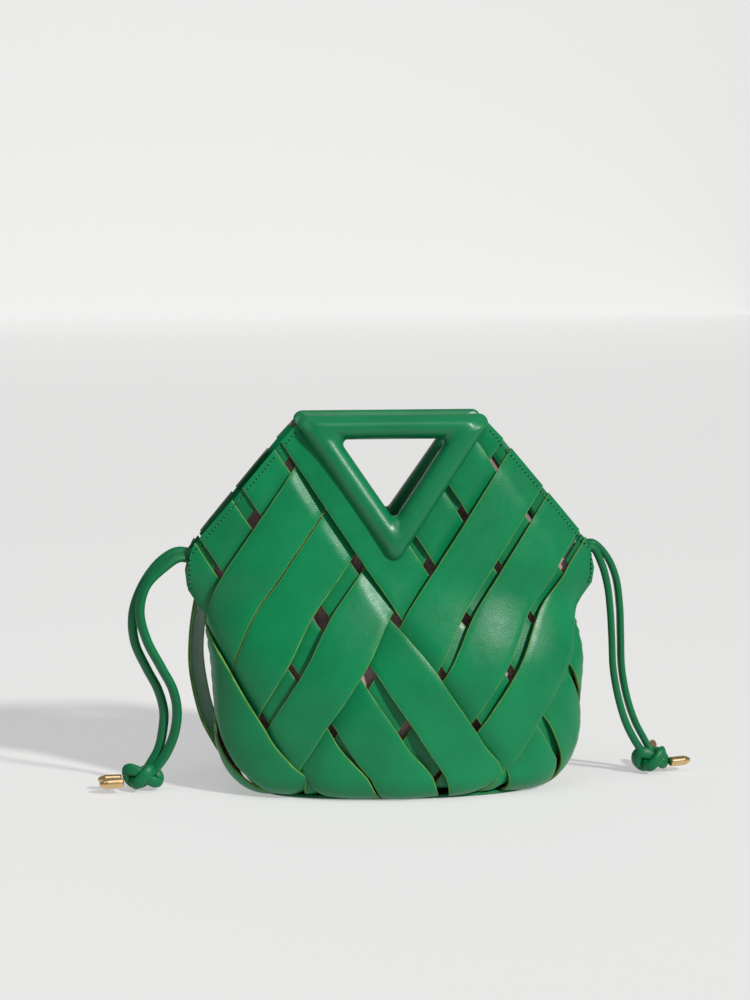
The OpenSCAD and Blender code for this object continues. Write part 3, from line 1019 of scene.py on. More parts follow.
@dataclass
class Stitcher:
    """Sews: a Geometry Nodes tree that lays thread along a line, with near-black beads between the
    stitches as painted shade of the needle holes.
    """

    finishes: Finishes
    tree: bpy.types.NodeTree = field(init=False)
    sockets: dict[str, str] = field(init=False, default_factory=dict)

    def __post_init__(self) -> None:
        """Builds the tree with its named inputs."""
        self.tree = bpy.data.node_groups.new("stitch_run", "GeometryNodeTree")
        face = self.tree.interface
        face.new_socket("Geometry", in_out="INPUT", socket_type="NodeSocketGeometry")
        for name, value in (("Stitch pitch", 0.0031), ("Thread length", 0.0022),
                            ("Thread radius", 0.0003), ("Hole radius", 0.0004)):
            socket = face.new_socket(name, in_out="INPUT", socket_type="NodeSocketFloat")
            socket.default_value = value
            self.sockets[name] = socket.identifier
        for name in ("Thread", "Hole"):
            socket = face.new_socket(name, in_out="INPUT", socket_type="NodeSocketMaterial")
            self.sockets[name] = socket.identifier
        face.new_socket("Geometry", in_out="OUTPUT", socket_type="NodeSocketGeometry")
        self.wire()

    def wire(self) -> None:
        """Lays out and links the tree's nodes."""
        nodes, link = self.tree.nodes, self.tree.links.new
        given = nodes.new("NodeGroupInput").outputs
        curve = nodes.new("GeometryNodeMeshToCurve")
        link(given["Geometry"], curve.inputs["Mesh"])
        run = nodes.new("GeometryNodeResampleCurve")
        run.mode = "LENGTH"
        link(curve.outputs["Curve"], run.inputs["Curve"])
        link(given["Stitch pitch"], run.inputs["Length"])
        tangent = nodes.new("GeometryNodeInputTangent")
        aim = nodes.new("FunctionNodeAlignRotationToVector")
        aim.axis = "X"
        link(tangent.outputs["Tangent"], aim.inputs["Vector"])
        join = nodes.new("GeometryNodeJoinGeometry")
        shift = nodes.new("ShaderNodeVectorMath")
        shift.operation = "SCALE"
        link(tangent.outputs["Tangent"], shift.inputs[0])
        half_pitch = self.maths("MULTIPLY", given["Stitch pitch"], 0.5)
        link(half_pitch, shift.inputs["Scale"])
        moved = nodes.new("GeometryNodeSetPosition")
        link(run.outputs["Curve"], moved.inputs["Geometry"])
        link(shift.outputs["Vector"], moved.inputs["Offset"])
        thread = self.ellipsoid(10, 6, self.maths("MULTIPLY", given["Thread length"], 0.5),
                                given["Thread radius"])
        # Near-black beads stand in for the shade inside the needle holes.
        hole = self.ellipsoid(8, 5, given["Hole radius"], given["Hole radius"])
        for spots, bead, material in ((run.outputs["Curve"], thread, given["Thread"]),
                                      (moved.outputs["Geometry"], hole, given["Hole"])):
            put = nodes.new("GeometryNodeInstanceOnPoints")
            link(spots, put.inputs["Points"])
            link(bead, put.inputs["Instance"])
            link(aim.outputs["Rotation"], put.inputs["Rotation"])
            real = nodes.new("GeometryNodeRealizeInstances")
            link(put.outputs["Instances"], real.inputs["Geometry"])
            dress = nodes.new("GeometryNodeSetMaterial")
            link(real.outputs["Geometry"], dress.inputs["Geometry"])
            link(material, dress.inputs["Material"])
            link(dress.outputs["Geometry"], join.inputs["Geometry"])
        link(join.outputs["Geometry"], nodes.new("NodeGroupOutput").inputs["Geometry"])

    def maths(self, operation: str, a: bpy.types.NodeSocket, b: float) -> bpy.types.NodeSocket:
        """One sum on a socket and a number.

        Args:
            operation: Name of the sum.
            a: The socket.
            b: The number.

        Returns:
            The socket of the result.
        """
        node = self.tree.nodes.new("ShaderNodeMath")
        node.operation = operation
        self.tree.links.new(a, node.inputs[0])
        node.inputs[1].default_value = b
        return node.outputs[0]

    def ellipsoid(self, segments: int, rings: int, length: bpy.types.NodeSocket,
                  radius: bpy.types.NodeSocket) -> bpy.types.NodeSocket:
        """A bead that is length along X and radius across it.

        Args:
            segments: Faces round the bead.
            rings: Faces along it.
            length: Socket of its half length.
            radius: Socket of its radius.

        Returns:
            The geometry socket.
        """
        nodes, link = self.tree.nodes, self.tree.links.new
        ball = nodes.new("GeometryNodeMeshUVSphere")
        ball.inputs["Segments"].default_value = segments
        ball.inputs["Rings"].default_value = rings
        ball.inputs["Radius"].default_value = 1.0
        size = nodes.new("ShaderNodeCombineXYZ")
        link(length, size.inputs["X"])
        link(radius, size.inputs["Y"])
        link(radius, size.inputs["Z"])
        form = nodes.new("GeometryNodeTransform")
        link(ball.outputs["Mesh"], form.inputs["Geometry"])
        link(size.outputs["Vector"], form.inputs["Scale"])
        return form.outputs["Geometry"]

    def sew(self, name: str, lines: Sequence[Array], pitch: float = 3.1, thread: float = 2.2,
            radius: float = 0.3, hole: float = 0.42) -> bpy.types.Object:
        """Lays one seam.

        Args:
            name: Name of the piece.
            lines: Lines of points in metres that the thread follows.
            pitch: Distance from stitch to stitch, in millimetres.
            thread: Length of thread that shows in each stitch.
            radius: Radius of the thread.
            hole: Radius of the near-black beads painted as the needle holes' shade.

        Returns:
            The seam as a plain mesh object.
        """
        points = np.vstack(lines)
        starts = np.cumsum([0, *(len(line) for line in lines)])
        edges = [(k, k + 1) for a, b in zip(starts, starts[1:]) for k in range(a, b - 1)]
        mesh = bpy.data.meshes.new(f"{name}_line")
        mesh.from_pydata(points.tolist(), edges, [])
        guide = bpy.data.objects.new(f"{name}_line", mesh)
        bpy.context.scene.collection.objects.link(guide)
        modifier = guide.modifiers.new("stitches", "NODES")
        modifier.node_group = self.tree
        for key, value in (("Stitch pitch", pitch * MM), ("Thread length", thread * MM),
                           ("Thread radius", radius * MM), ("Hole radius", hole * MM),
                           ("Thread", self.finishes.thread), ("Hole", self.finishes.hole)):
            modifier[self.sockets[key]] = value
        graph = bpy.context.evaluated_depsgraph_get()
        made = bpy.data.meshes.new_from_object(guide.evaluated_get(graph))
        bpy.data.objects.remove(guide)
        made.name = name
        made.shade_smooth()
        seam = bpy.data.objects.new(name, made)
        bpy.context.scene.collection.objects.link(seam)
        return seam


# ---------- rim ----------


@dataclass
class Rim:
    """The bands that the strips' ends are sewn to, and the seams along the rim and the ears."""

    finishes: Finishes
    stitcher: Stitcher
    band_inner: float = -194.5
    band_split: float = 11.0
    split_gap: float = 0.8
    seam_in: float = 3.4

    def edge(self, w: Array) -> Array:
        """Own slant coordinate of the rim at the other coordinate w.

        Args:
            w: The other family's coordinates.

        Returns:
            Own coordinates of the rim.
        """
        return along_line(WEAVE.rim_high, WEAVE.rim_low, w) + 0.4

    def band(self, start: float, end: float, family: Family, side: Side) -> tuple[Array, list]:
        """One stretch of band.

        Args:
            start: Where it starts, as a slant coordinate.
            end: Where it ends.
            family: Which slope of the rim it follows.
            side: Front or back.

        Returns:
            Its points in millimetres, and its faces.
        """
        count = max(int(abs(end - start) / 2.5), 4)
        w = np.linspace(start, end, count)[:, None]
        across = np.array([0, 0.02, 0.06, 0.35, 0.65, 0.94, 0.98, 1.0, 1.0, 0.98, 0.5, 0.02, 0])
        height = np.array([0.4, 0.8, 1, 1, 1, 1, 0.8, 0.4, -0.7, -1, -1, -1, -0.7])
        p = mix(self.edge(w), self.band_inner, across[None, :])
        w = np.broadcast_to(w, p.shape)
        off = WEAVE.under_at + height[None, :] * WEAVE.leather / 2 + 0 * p
        points = BODY.off_skin(WEAVE.round_at(p, w, family), WEAVE.up_at(p, w), side.value, off)
        return points, swept_faces(count, len(across), closed=False)

    def bands(self, name: str, start: float, end: float, sides: Sequence[Side],
              body: str) -> bpy.types.Object:
        """Makes the bands of one CAD node as one piece.

        Args:
            name: Name of the CAD node.
            start: Where the bands start, as a slant coordinate.
            end: Where they end.
            sides: Sides that they lie on.
            body: Body that they ride on.

        Returns:
            The piece.
        """
        points: list[Array] = []
        faces: list[tuple[int, ...]] = []
        for family in Family:
            for side in sides:
                more, walls = self.band(start, end, family, side)
                base = sum(len(p) for p in points)
                points.append(more.reshape(-1, 3))
                faces += [tuple(base + k for k in face) for face in walls]
        # The band finish is the strip leather darkened as painted shade.
        piece = new_object(f"{name}_leather", np.vstack(points) * MM, faces, [self.finishes.band])
        point_outwards(piece)
        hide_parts(name)
        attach(piece, body)
        LOG.info("rim %s", piece.name)
        return piece

    def seam_height(self, w: Array) -> Array:
        """How far out the thread lies: on a strip's end, or on the band between two strips.

        Args:
            w: Slant coordinates along the rim.

        Returns:
            Distances outside the surface.
        """
        number = WEAVE.home + (w - WEAVE.centre_0) / WEAVE.pitch
        off_centre = np.abs(number - np.round(number)) * WEAVE.pitch
        on_strip = 1 - smooth((off_centre - WEAVE.strip_width / 2 + 0.3) / 1.2)
        top = WEAVE.under_at + WEAVE.layer_step * 0.58 + WEAVE.leather / 2
        return mix(WEAVE.under_at + WEAVE.leather / 2, top, on_strip)

    def seam(self, side: Side, start: float, end: float, family: Family) -> Array:
        """Thread line along one slope of the rim, in metres.

        Args:
            side: Front or back.
            start: Where it starts, as a slant coordinate.
            end: Where it ends.
            family: Which slope of the rim it follows.

        Returns:
            Points of the line.
        """
        w = np.linspace(start, end, 160)
        slope = Family(-family.value)
        rim = along_line(WEAVE.rim_high, WEAVE.rim_low, w)
        p = rim + self.seam_in
        off = self.seam_height(w)
        return BODY.off_skin(WEAVE.round_at(w, p, slope), WEAVE.up_at(w, p), side.value, off) * MM

    def ear_seam(self, side: Side, family: Family) -> Array:
        """Thread line down the ear's short edge, in metres.

        Args:
            side: Front or back.
            family: Which ear it is on.

        Returns:
            Points of the line.
        """
        s_edge = WEAVE.ear_s - self.seam_in
        h = np.linspace(168.5, 151.0, 30)
        s = np.full_like(h, family.value * s_edge)
        p = (family.value * 2 * math.sin(WEAVE.angle) * s - 2 * math.cos(WEAVE.angle) * h) / 2
        w = -p - 2 * math.cos(WEAVE.angle) * h
        off = WEAVE.offset(WEAVE.home, p, w, family) + WEAVE.leather / 2
        return BODY.off_skin(s, h, side.value, off) * MM

    def build_all(self) -> None:
        """Makes the bands and the seams."""
        for side in Side:
            label = side.name.lower()
            self.bands(f"{label}_rim_bands", -86.0, self.band_split - self.split_gap, [side],
                       side.panel)
            seam = self.stitcher.sew(
                f"{label}_rim_stitches",
                [self.seam(side, -86.5, self.band_split - 1.5, family) for family in Family],
                radius=0.36, hole=0.62)
            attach(seam, side.panel)
        self.bands("ear_bands", self.band_split + self.split_gap, 24.0, list(Side), "basket")
        ears = self.stitcher.sew(
            "ear_stitches",
            [self.seam(side, self.band_split + 1.5, 22.0, family)
             for side in Side for family in Family]
            + [self.ear_seam(side, family) for side in Side for family in Family],
            radius=0.36, hole=0.62)
        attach(ears, "basket")


# ---------- handles ----------


@dataclass
class Handles:
    """Two padded rings in the shape of a rounded triangle: a face, a lining and a core each."""

    finishes: Finishes
    stitcher: Stitcher
    top: float = 267.5
    half_width: float = 71.0
    limb: float = 18.0
    bar: float = 16.8
    low: float = 168.0
    arc_steps: int = 14
    side_steps: int = 16
    face_outer: tuple = ((0, 3.2), (-0.2, 3.9), (0.05, 5.3), (0.8, 7.3), (2.2, 9.4), (4.2, 11.1),
                         (6.8, 12), (9.6, 12.2), (12.7, 11.3), (15.4, 9.2), (17.3, 6),
                         (18.1, 2.4), (18, -0.4))
    face_inner: tuple = ((16.9, -0.4), (16.7, 3), (15.2, 7.4), (12.4, 9.9), (9.5, 10.7),
                         (6.8, 9.7), (4.8, 7), (3.4, 3.2))
    lining_outer: tuple = ((16.9, -0.8), (18, -0.8), (18.05, -3.2), (16.5, -6.8), (13.1, -8.8),
                           (9.5, -9.3), (6, -9), (3.2, -8), (1.4, -6.9), (0.3, -5.8),
                           (-0.1, -5.0), (0, -4.4))
    lining_inner: tuple = ((3.6, -4.4), (4.8, -6.2), (7, -7.6), (9.5, -8), (12.4, -7.5),
                           (15.4, -5.6), (16.8, -3))

    @property
    def out(self) -> float:
        """Middle of the strips' two layers, out from the surface.

        Returns:
            The distance.
        """
        return WEAVE.under_at + WEAVE.layer_step / 2

    def loop(self, d: float) -> Array:
        """Rounded triangle at a distance inside the handle's outer edge.

        Args:
            d: The distance in millimetres.

        Returns:
            Points [x, z] from the middle of the top edge, with the same count for every d.
        """
        sn, cs = math.sin(WEAVE.angle), math.cos(WEAVE.angle)
        top = -d * self.bar / self.limb
        half = self.half_width + top * cs / sn - d / sn
        apex = -(self.half_width - d / sn) * sn / cs
        r = mix(6, 3.5, d / self.limb)
        narrow, tip = WEAVE.angle / 2, math.pi / 2 - WEAVE.angle
        corners = [((half, top), narrow, narrow), ((-half, top), narrow, math.pi - narrow),
                   ((0, apex), tip, 1.5 * math.pi)]
        arcs = []
        for at, half_angle, out in corners:
            way_out = np.array([math.cos(out), math.sin(out)])
            centre = np.array(at) - r / math.sin(half_angle) * way_out
            reach = math.pi / 2 - half_angle
            turn = out - reach + 2 * reach * np.linspace(0, 1, self.arc_steps + 1)
            arcs.append(centre + r * np.stack([np.cos(turn), np.sin(turn)], 1))
        rows = []
        for k, arc in enumerate(arcs):
            following = arcs[(k + 1) % 3][0]
            gap = np.linspace(0, 1, self.side_steps + 1)[1:-1, None]
            rows += [arc, mix(arc[-1], following, gap)]
        return np.vstack(rows)

    def closing(self) -> Array:
        """How far the flanges close up: 1 along the top bar, easing to 0 on the limbs.

        Returns:
            The share at each point of the loop.
        """
        flat = self.loop(0)
        return np.clip(smooth((flat[:, 1] + 9) / 8), 0, 1)

    def place(self, points: Array, side: Side) -> Array:
        """Brings points [x, out, z] of the handle's own plane to their place on the bag.

        Args:
            points: Points in millimetres.
            side: Front or back handle.

        Returns:
            Points in the bag's frame.
        """
        y_top = float(BODY.half_depth(np.array(self.top))) + self.out
        y_low = float(BODY.half_depth(np.array(self.low))) + self.out
        tilt = -math.atan((y_low - y_top) / (self.top - self.low))
        x, y, z = points[..., 0], -points[..., 1], points[..., 2]
        turned = np.stack([x, y * math.cos(tilt) - z * math.sin(tilt) - y_top,
                           y * math.sin(tilt) + z * math.cos(tilt) + self.top], axis=-1)
        return turned if side is Side.FRONT else turned * np.array([-1, -1, 1])

    def shell(self, outer: Sequence, inner: Sequence, meet: float, side: Side,
              name: str) -> bpy.types.Object:
        """Sweeps one leather shell round the ring.

        Args:
            outer: Section points of its visible face, [distance in, distance out].
            inner: Section points of its hidden face, closing the ring.
            meet: How far its flange moves to meet the other shell's on the top bar.
            side: Front or back handle.
            name: Name of the piece.

        Returns:
            The shell.
        """
        rounded = smooth_line(outer, 0.8)
        section = np.vstack([rounded, np.array(inner)])
        close = self.closing()
        rows = []
        for d, y in section:
            flat = self.loop(float(d))
            near = 1 - smooth((d - 2.2) / 5)
            place = np.arange(len(flat)) / len(flat)
            fullness = 0.25 * np.sin(6 * math.pi * place + 1.0) * smooth((d - 4) / 4)
            rows.append(np.stack([flat[:, 0], y + close * near * meet + np.sign(y) * fullness,
                                  flat[:, 1]], axis=1))
        rings = self.place(np.stack(rows, axis=1), side)
        faces = swept_faces(rings.shape[0], rings.shape[1], closed=True)
        piece = new_object(name, rings * MM, faces, [self.finishes.handle], sharp=60)
        point_outwards(piece)
        return piece

    def build(self, side: Side) -> None:
        """Makes the face and the lining of one handle.

        Args:
            side: Front or back.
        """
        label = side.name.lower()
        face = self.shell(self.face_outer, self.face_inner, -3.1, side,
                          f"{label}_handle_face_leather")
        lining = self.shell(self.lining_outer, self.lining_inner, 4.2, side,
                            f"{label}_handle_lining_leather")
        for piece, node in ((face, "face"), (lining, "lining")):
            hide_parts(f"{label}_handle_{node}")
            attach(piece, side.panel)
            LOG.info("handle %s", piece.name)

    def build_all(self) -> None:
        """Makes both handles."""
        for side in Side:
            self.build(side)
            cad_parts[f"{side.name.lower()}_handle_core"].data.materials.clear()
            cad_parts[f"{side.name.lower()}_handle_core"].data.materials.append(
                self.finishes.foam)


# ---------- base and pouch ----------


@dataclass
class Base:
    """The base panel's rounded, grooved edge, and the stiffening board."""

    finishes: Finishes
    profile: tuple = ((0.0, 1.2), (0.25, 0.35), (0.7, 0.0), (1.15, 0.1), (1.3, 0.5), (1.45, 0.1),
                      (1.9, 0.0), (2.35, 0.3), (2.6, 1.1))
    reach: tuple[float, float] = (-2.0, -4.0)

    def build_all(self) -> None:
        """Makes the panel and dresses the board."""
        level = BODY.base_level
        rings = []
        for z, inset in self.profile:
            flat = BODY.section(level, self.reach[0] + inset, self.reach[1] + inset, 90)
            rings.append(np.column_stack([flat, np.full(len(flat), z)]))
        points = np.stack(rings)
        faces = swept_faces(len(rings), points.shape[1], closed=False)
        slots = [1 if 3 <= k // points.shape[1] <= 4 else 0 for k in range(len(faces) - 2)] + [0, 0]
        # The band finish here is the strip leather darkened as painted shade at the foot.
        piece = new_object("base_panel_leather", points * MM, faces,
                           [self.finishes.band, self.finishes.edge], slots)
        point_outwards(piece)
        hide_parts("base_panel")
        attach(piece, "basket")
        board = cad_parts["base_board"].data.materials
        board.clear()
        board.append(self.finishes.board)
        LOG.info("base %s", piece.name)


@dataclass
class Pouch:
    """The cloth pouch inside, with its gathered casing and the two cords that run in it."""

    finishes: Finishes
    cut: tuple[float, float] = (7.0, 4.0)
    wall: float = 1.2
    low: float = 11.2
    high: float = 174.0
    points_round: int = 150

    @staticmethod
    def draw(z: float) -> float:
        """How much further in the pouch stands over the foot's bend and under the handles.

        Args:
            z: Height.

        Returns:
            The distance.
        """
        return float(4.5 * (1 - smooth((z - 9) / 20)) + 2 * smooth((z - 148) / 12))

    def ring(self, z: float, inset: float, fold: float, seed: float) -> Array:
        """One level of the cloth, with soft upright folds.

        Args:
            z: Height.
            inset: Distance inside the pouch's outer face.
            fold: Depth of the folds.
            seed: Shifts the folds.

        Returns:
            Points of the ring.
        """
        more = self.draw(z) + inset
        flat = BODY.section(z, self.cut[0] + more, self.cut[1] + more, self.points_round)
        centre = np.array([float(BODY.lean_at(np.array(z))), 0.0])
        inward = unit(centre - flat)
        place = np.arange(len(flat)) / len(flat) * 2 * math.pi
        wave = (np.sin(23 * place + seed) + 0.7 * np.sin(41 * place + 2.1 * seed + z / 19)
                + 0.5 * np.sin(67 * place + z / 27) + 2.2) / 4.4
        hollow = 8 * smooth((ripple(3 * place, np.full_like(place, z / 30), 1.7) + 0.1) / 0.9)
        loose = smooth((z - 25) / 30) * (1 - smooth((z - 125) / 25))
        flat = flat + inward * (wave * fold + hollow * loose)[:, None]
        return np.column_stack([flat, np.full(len(flat), z)])

    def fold_at(self, z: float) -> float:
        """Depth of the folds at a height, deepest at the casing.

        Args:
            z: Height.

        Returns:
            The depth.
        """
        return float(0.7 + 1.9 * smooth((z - 90) / 70))

    def shell(self, name: str, levels: Array, inset: float, wall: float,
              floor: bool) -> bpy.types.Object:
        """Makes a cloth wall between two heights, with or without a floor.

        Args:
            name: Name of the piece.
            levels: Heights of its rings, from the lowest.
            inset: Distance inside the pouch's outer face.
            wall: Thickness of the cloth.
            floor: True to close it at the bottom.

        Returns:
            The piece.
        """
        out = [self.ring(z, inset, self.fold_at(z), 0.4) for z in levels]
        lip = [self.ring(levels[-1] + 0.5, inset + wall / 2, self.fold_at(levels[-1]), 0.4)]
        inner = [self.ring(max(z, levels[0] + wall if floor else z), inset + wall,
                           self.fold_at(z), 0.4) for z in levels[::-1]]
        rings = np.stack([*out, *lip, *inner])
        faces = swept_faces(len(rings), rings.shape[1], closed=not floor, caps=floor)
        piece = new_object(name, rings * MM, faces, [self.finishes.cloth], sharp=None)
        point_outwards(piece)
        return piece

    def build_all(self) -> None:
        """Makes the pouch and its casing, and dresses the cords inside it."""
        levels = np.concatenate([[self.low, 12.2, 14, 17], np.linspace(21, self.high, 42)])
        pouch = self.shell("pouch_cloth", levels, 0.0, self.wall, floor=True)
        casing = self.shell("pouch_casing_cloth", np.linspace(149, 171, 10), 4.2, 0.9, floor=False)
        for piece, node in ((pouch, "pouch"), (casing, "pouch_casing")):
            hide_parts(node)
            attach(piece, "basket")
            LOG.info("pouch %s", piece.name)
        for name in ("left_drawcord_run", "right_drawcord_run"):
            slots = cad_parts[name].data.materials
            slots.clear()
            slots.append(self.finishes.cord)


# ---------- drawcords ----------


@dataclass(frozen=True)
class CordRoute:
    """One free cord end: its name and the points it is laid through, in metres."""

    name: str
    points: tuple[tuple[float, float, float], ...]
    flat_side: tuple[float, float, float]


LEFT_FRONT = CordRoute("left_cord_front", (
    (-0.139, -0.0038, 0.167), (-0.148, -0.005, 0.168), (-0.158, -0.007, 0.162),
    (-0.171, -0.008, 0.149), (-0.1755, -0.008, 0.131), (-0.171, -0.007, 0.111),
    (-0.161, -0.005, 0.091), (-0.153, -0.003, 0.075), (-0.150, 0.0, 0.059),
    (-0.152, 0.003, 0.042), (-0.158, 0.006, 0.027), (-0.165, 0.008, 0.017),
    (-0.171, 0.009, 0.011)), (0, 0.75, 0.66))
LEFT_BACK = CordRoute("left_cord_back", (
    (-0.139, 0.0038, 0.170), (-0.149, 0.004, 0.171), (-0.161, 0.003, 0.164),
    (-0.173, 0.002, 0.148), (-0.180, 0.002, 0.128), (-0.179, 0.003, 0.108),
    (-0.171, 0.005, 0.089), (-0.163, 0.007, 0.073), (-0.159, 0.009, 0.057),
    (-0.160, 0.011, 0.042), (-0.163, 0.012, 0.029), (-0.168, 0.012, 0.020),
    (-0.173, 0.011, 0.0125)), (0, 0.75, 0.66))
RIGHT_FRONT = CordRoute("right_cord_front", (
    (0.137, -0.0038, 0.172), (0.1435, -0.003, 0.171), (0.151, 0.001, 0.158),
    (0.156, 0.005, 0.142), (0.159, 0.009, 0.123), (0.161, 0.013, 0.103),
    (0.163, 0.017, 0.080), (0.168, 0.021, 0.057), (0.175, 0.025, 0.037),
    (0.184, 0.028, 0.021), (0.191, 0.030, 0.012)), (0.8, 0.6, 0.3))
RIGHT_BACK = CordRoute("right_cord_back", (
    (0.137, 0.0038, 0.172), (0.145, 0.005, 0.173), (0.155, 0.009, 0.164),
    (0.163, 0.013, 0.148), (0.167, 0.017, 0.127), (0.169, 0.022, 0.104),
    (0.171, 0.027, 0.079), (0.176, 0.031, 0.056), (0.183, 0.034, 0.037),
    (0.190, 0.035, 0.024), (0.196, 0.033, 0.0125)), (0.8, 0.6, 0.3))


@dataclass
class DrawCords:
    """Folded and stitched leather cords, their knots and gold tips."""

    finishes: Finishes
    stitcher: Stitcher
    width: float = 7.0
    thickness: float = 5.0
    knots: tuple = (("left", (-0.174, 0.009, 0.0108), 0.0), ("right", (0.195, 0.031, 0.0108), 20.0))

    def profile(self, width: float, thickness: float) -> Array:
        """Section of a folded strip: rounded, with the groove between its two edges.

        Args:
            width: Width of the section.
            thickness: Its thickness.

        Returns:
            Points of the section.
        """
        turn = np.linspace(0, 2 * math.pi, 21)[:-1]
        x = np.sign(np.cos(turn)) * np.abs(np.cos(turn)) ** 0.72 * width / 2
        y = np.sign(np.sin(turn)) * np.abs(np.sin(turn)) ** 0.72 * thickness / 2
        groove = 0.5 * np.exp(-((turn - 0.0) / 0.16) ** 2) + 0.5 * np.exp(
            -((turn - 2 * math.pi) / 0.16) ** 2)
        return np.stack([x - groove, y], axis=1)

    def sweep(self, name: str, line: Array, flat_side: Sequence[float], width: float,
              thickness: float, closed: bool = False) -> tuple[bpy.types.Object, Array, Array]:
        """Sweeps the cord's section along a line in metres.

        Args:
            name: Name of the piece.
            line: Points of the cord's middle.
            flat_side: Rough direction of the cord's width at its start.
            width: Width of the section in millimetres.
            thickness: Thickness of the section.
            closed: True if the line is a closed loop.

        Returns:
            The piece, and the across and up directions at each point.
        """
        along, across, up = carried_frames(line, flat_side)
        section = self.profile(width, thickness) * MM
        if closed:
            twist = math.atan2(across[0] @ up[-1], across[0] @ across[-1])
            angle = (np.arange(len(line)) / (len(line) - 1) * twist)[:, None]
            across, up = (across * np.cos(angle) + up * np.sin(angle),
                          up * np.cos(angle) - across * np.sin(angle))
            line, across, up = line[:-1], across[:-1], up[:-1]
        rings = (line[:, None] + across[:, None] * section[None, :, :1]
                 + up[:, None] * section[None, :, 1:])
        faces = swept_faces(len(rings), rings.shape[1], closed=closed)
        piece = new_object(name, rings, faces, [self.finishes.cord], sharp=50)
        point_outwards(piece)
        return piece, across, up

    def knot_line(self, at: Sequence[float], yaw: float) -> Array:
        """Closed path of a pulled-tight overhand knot round a point, in metres.

        Args:
            at: Middle of the knot, in metres.
            yaw: Turn about the upright axis, in degrees.

        Returns:
            Points of the path.
        """
        t = np.linspace(0, 2 * math.pi, 121)
        x = (np.sin(t) + 2 * np.sin(2 * t)) * 4.1
        y = (np.cos(t) - 2 * np.cos(2 * t)) * 2.3
        z = -np.sin(3 * t) * 4.6 + 1.2 * np.cos(2 * t)
        turn = math.radians(yaw)
        return np.array(at) + MM * np.stack([x * math.cos(turn) - y * math.sin(turn),
                                             x * math.sin(turn) + y * math.cos(turn), z], axis=1)

    def knot(self, label: str, at: Sequence[float], yaw: float) -> bpy.types.Object:
        """Makes one knot.

        Args:
            label: Left or right.
            at: Middle of the knot, in metres.
            yaw: Turn about the upright axis, in degrees.

        Returns:
            The knot.
        """
        line = self.knot_line(at, yaw)
        piece, _, _ = self.sweep(f"{label}_knot_leather", line, (0, 0, 1), 8.4, 7.0, closed=True)
        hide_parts(f"{label}_knot")
        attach(piece, "basket")
        return piece

    def cord(self, route: CordRoute, pieces: Sequence[object]) -> None:
        """Args:
            route: The cord's name and route.
            pieces: The knot and the tip on its end. Not used.
        """
        line = smooth_line(route.points, 0.0016)
        piece, across, up = self.sweep(f"{route.name}_leather", line, route.flat_side, self.width,
                                       self.thickness)
        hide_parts(route.name)
        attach(piece, "basket")
        seams = [line + across * 1.7 * MM + up * way * 2.2 * MM for way in (-1, 1)]
        thread = self.stitcher.sew(f"{route.name}_stitches", seams, pitch=2.6, thread=1.8,
                                   radius=0.22, hole=0.26)
        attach(thread, "basket")
        LOG.info("cord %s, %.0f mm", piece.name, line_length(line) / MM)

    def build_all(self) -> None:
        """Gilds the tips and makes the knots and cords."""
        for name in ("left_tip_front", "left_tip_back", "right_tip_front", "right_tip_back"):
            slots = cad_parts[name].data.materials
            slots.clear()
            slots.append(self.finishes.gold)
        made = {label: self.knot(label, at, yaw) for label, at, yaw in self.knots}
        for route in (LEFT_FRONT, LEFT_BACK, RIGHT_FRONT, RIGHT_BACK):
            label, _, place = route.name.split("_")
            self.cord(route, [made[label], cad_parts[f"{label}_tip_{place}"]])


# ---------- shoulder strap ----------

STRAP_ROUTE = (
    (-0.128, 0.022, 0.150), (-0.1315, 0.029, 0.132), (-0.134, 0.037, 0.111),
    (-0.1345, 0.045, 0.088), (-0.131, 0.053, 0.064), (-0.125, 0.060, 0.042),
    (-0.115, 0.067, 0.024), (-0.102, 0.072, 0.013), (-0.080, 0.075, 0.0112),
    (-0.040, 0.076, 0.011), (0.0, 0.076, 0.011), (0.040, 0.076, 0.011), (0.070, 0.077, 0.011),
    (0.088, 0.082, 0.011), (0.096, 0.094, 0.011), (0.088, 0.106, 0.011), (0.070, 0.111, 0.011),
    (0.040, 0.112, 0.011), (0.0, 0.112, 0.011), (-0.040, 0.112, 0.011), (-0.058, 0.117, 0.011),
    (-0.066, 0.129, 0.011), (-0.058, 0.141, 0.011), (-0.040, 0.146, 0.011), (0.0, 0.146, 0.011),
    (0.040, 0.144, 0.011), (0.076, 0.136, 0.011), (0.102, 0.120, 0.012), (0.116, 0.100, 0.018),
    (0.121, 0.082, 0.034), (0.120, 0.068, 0.056), (0.119, 0.059, 0.082), (0.119, 0.052, 0.108),
    (0.121, 0.042, 0.132), (0.124, 0.030, 0.150))


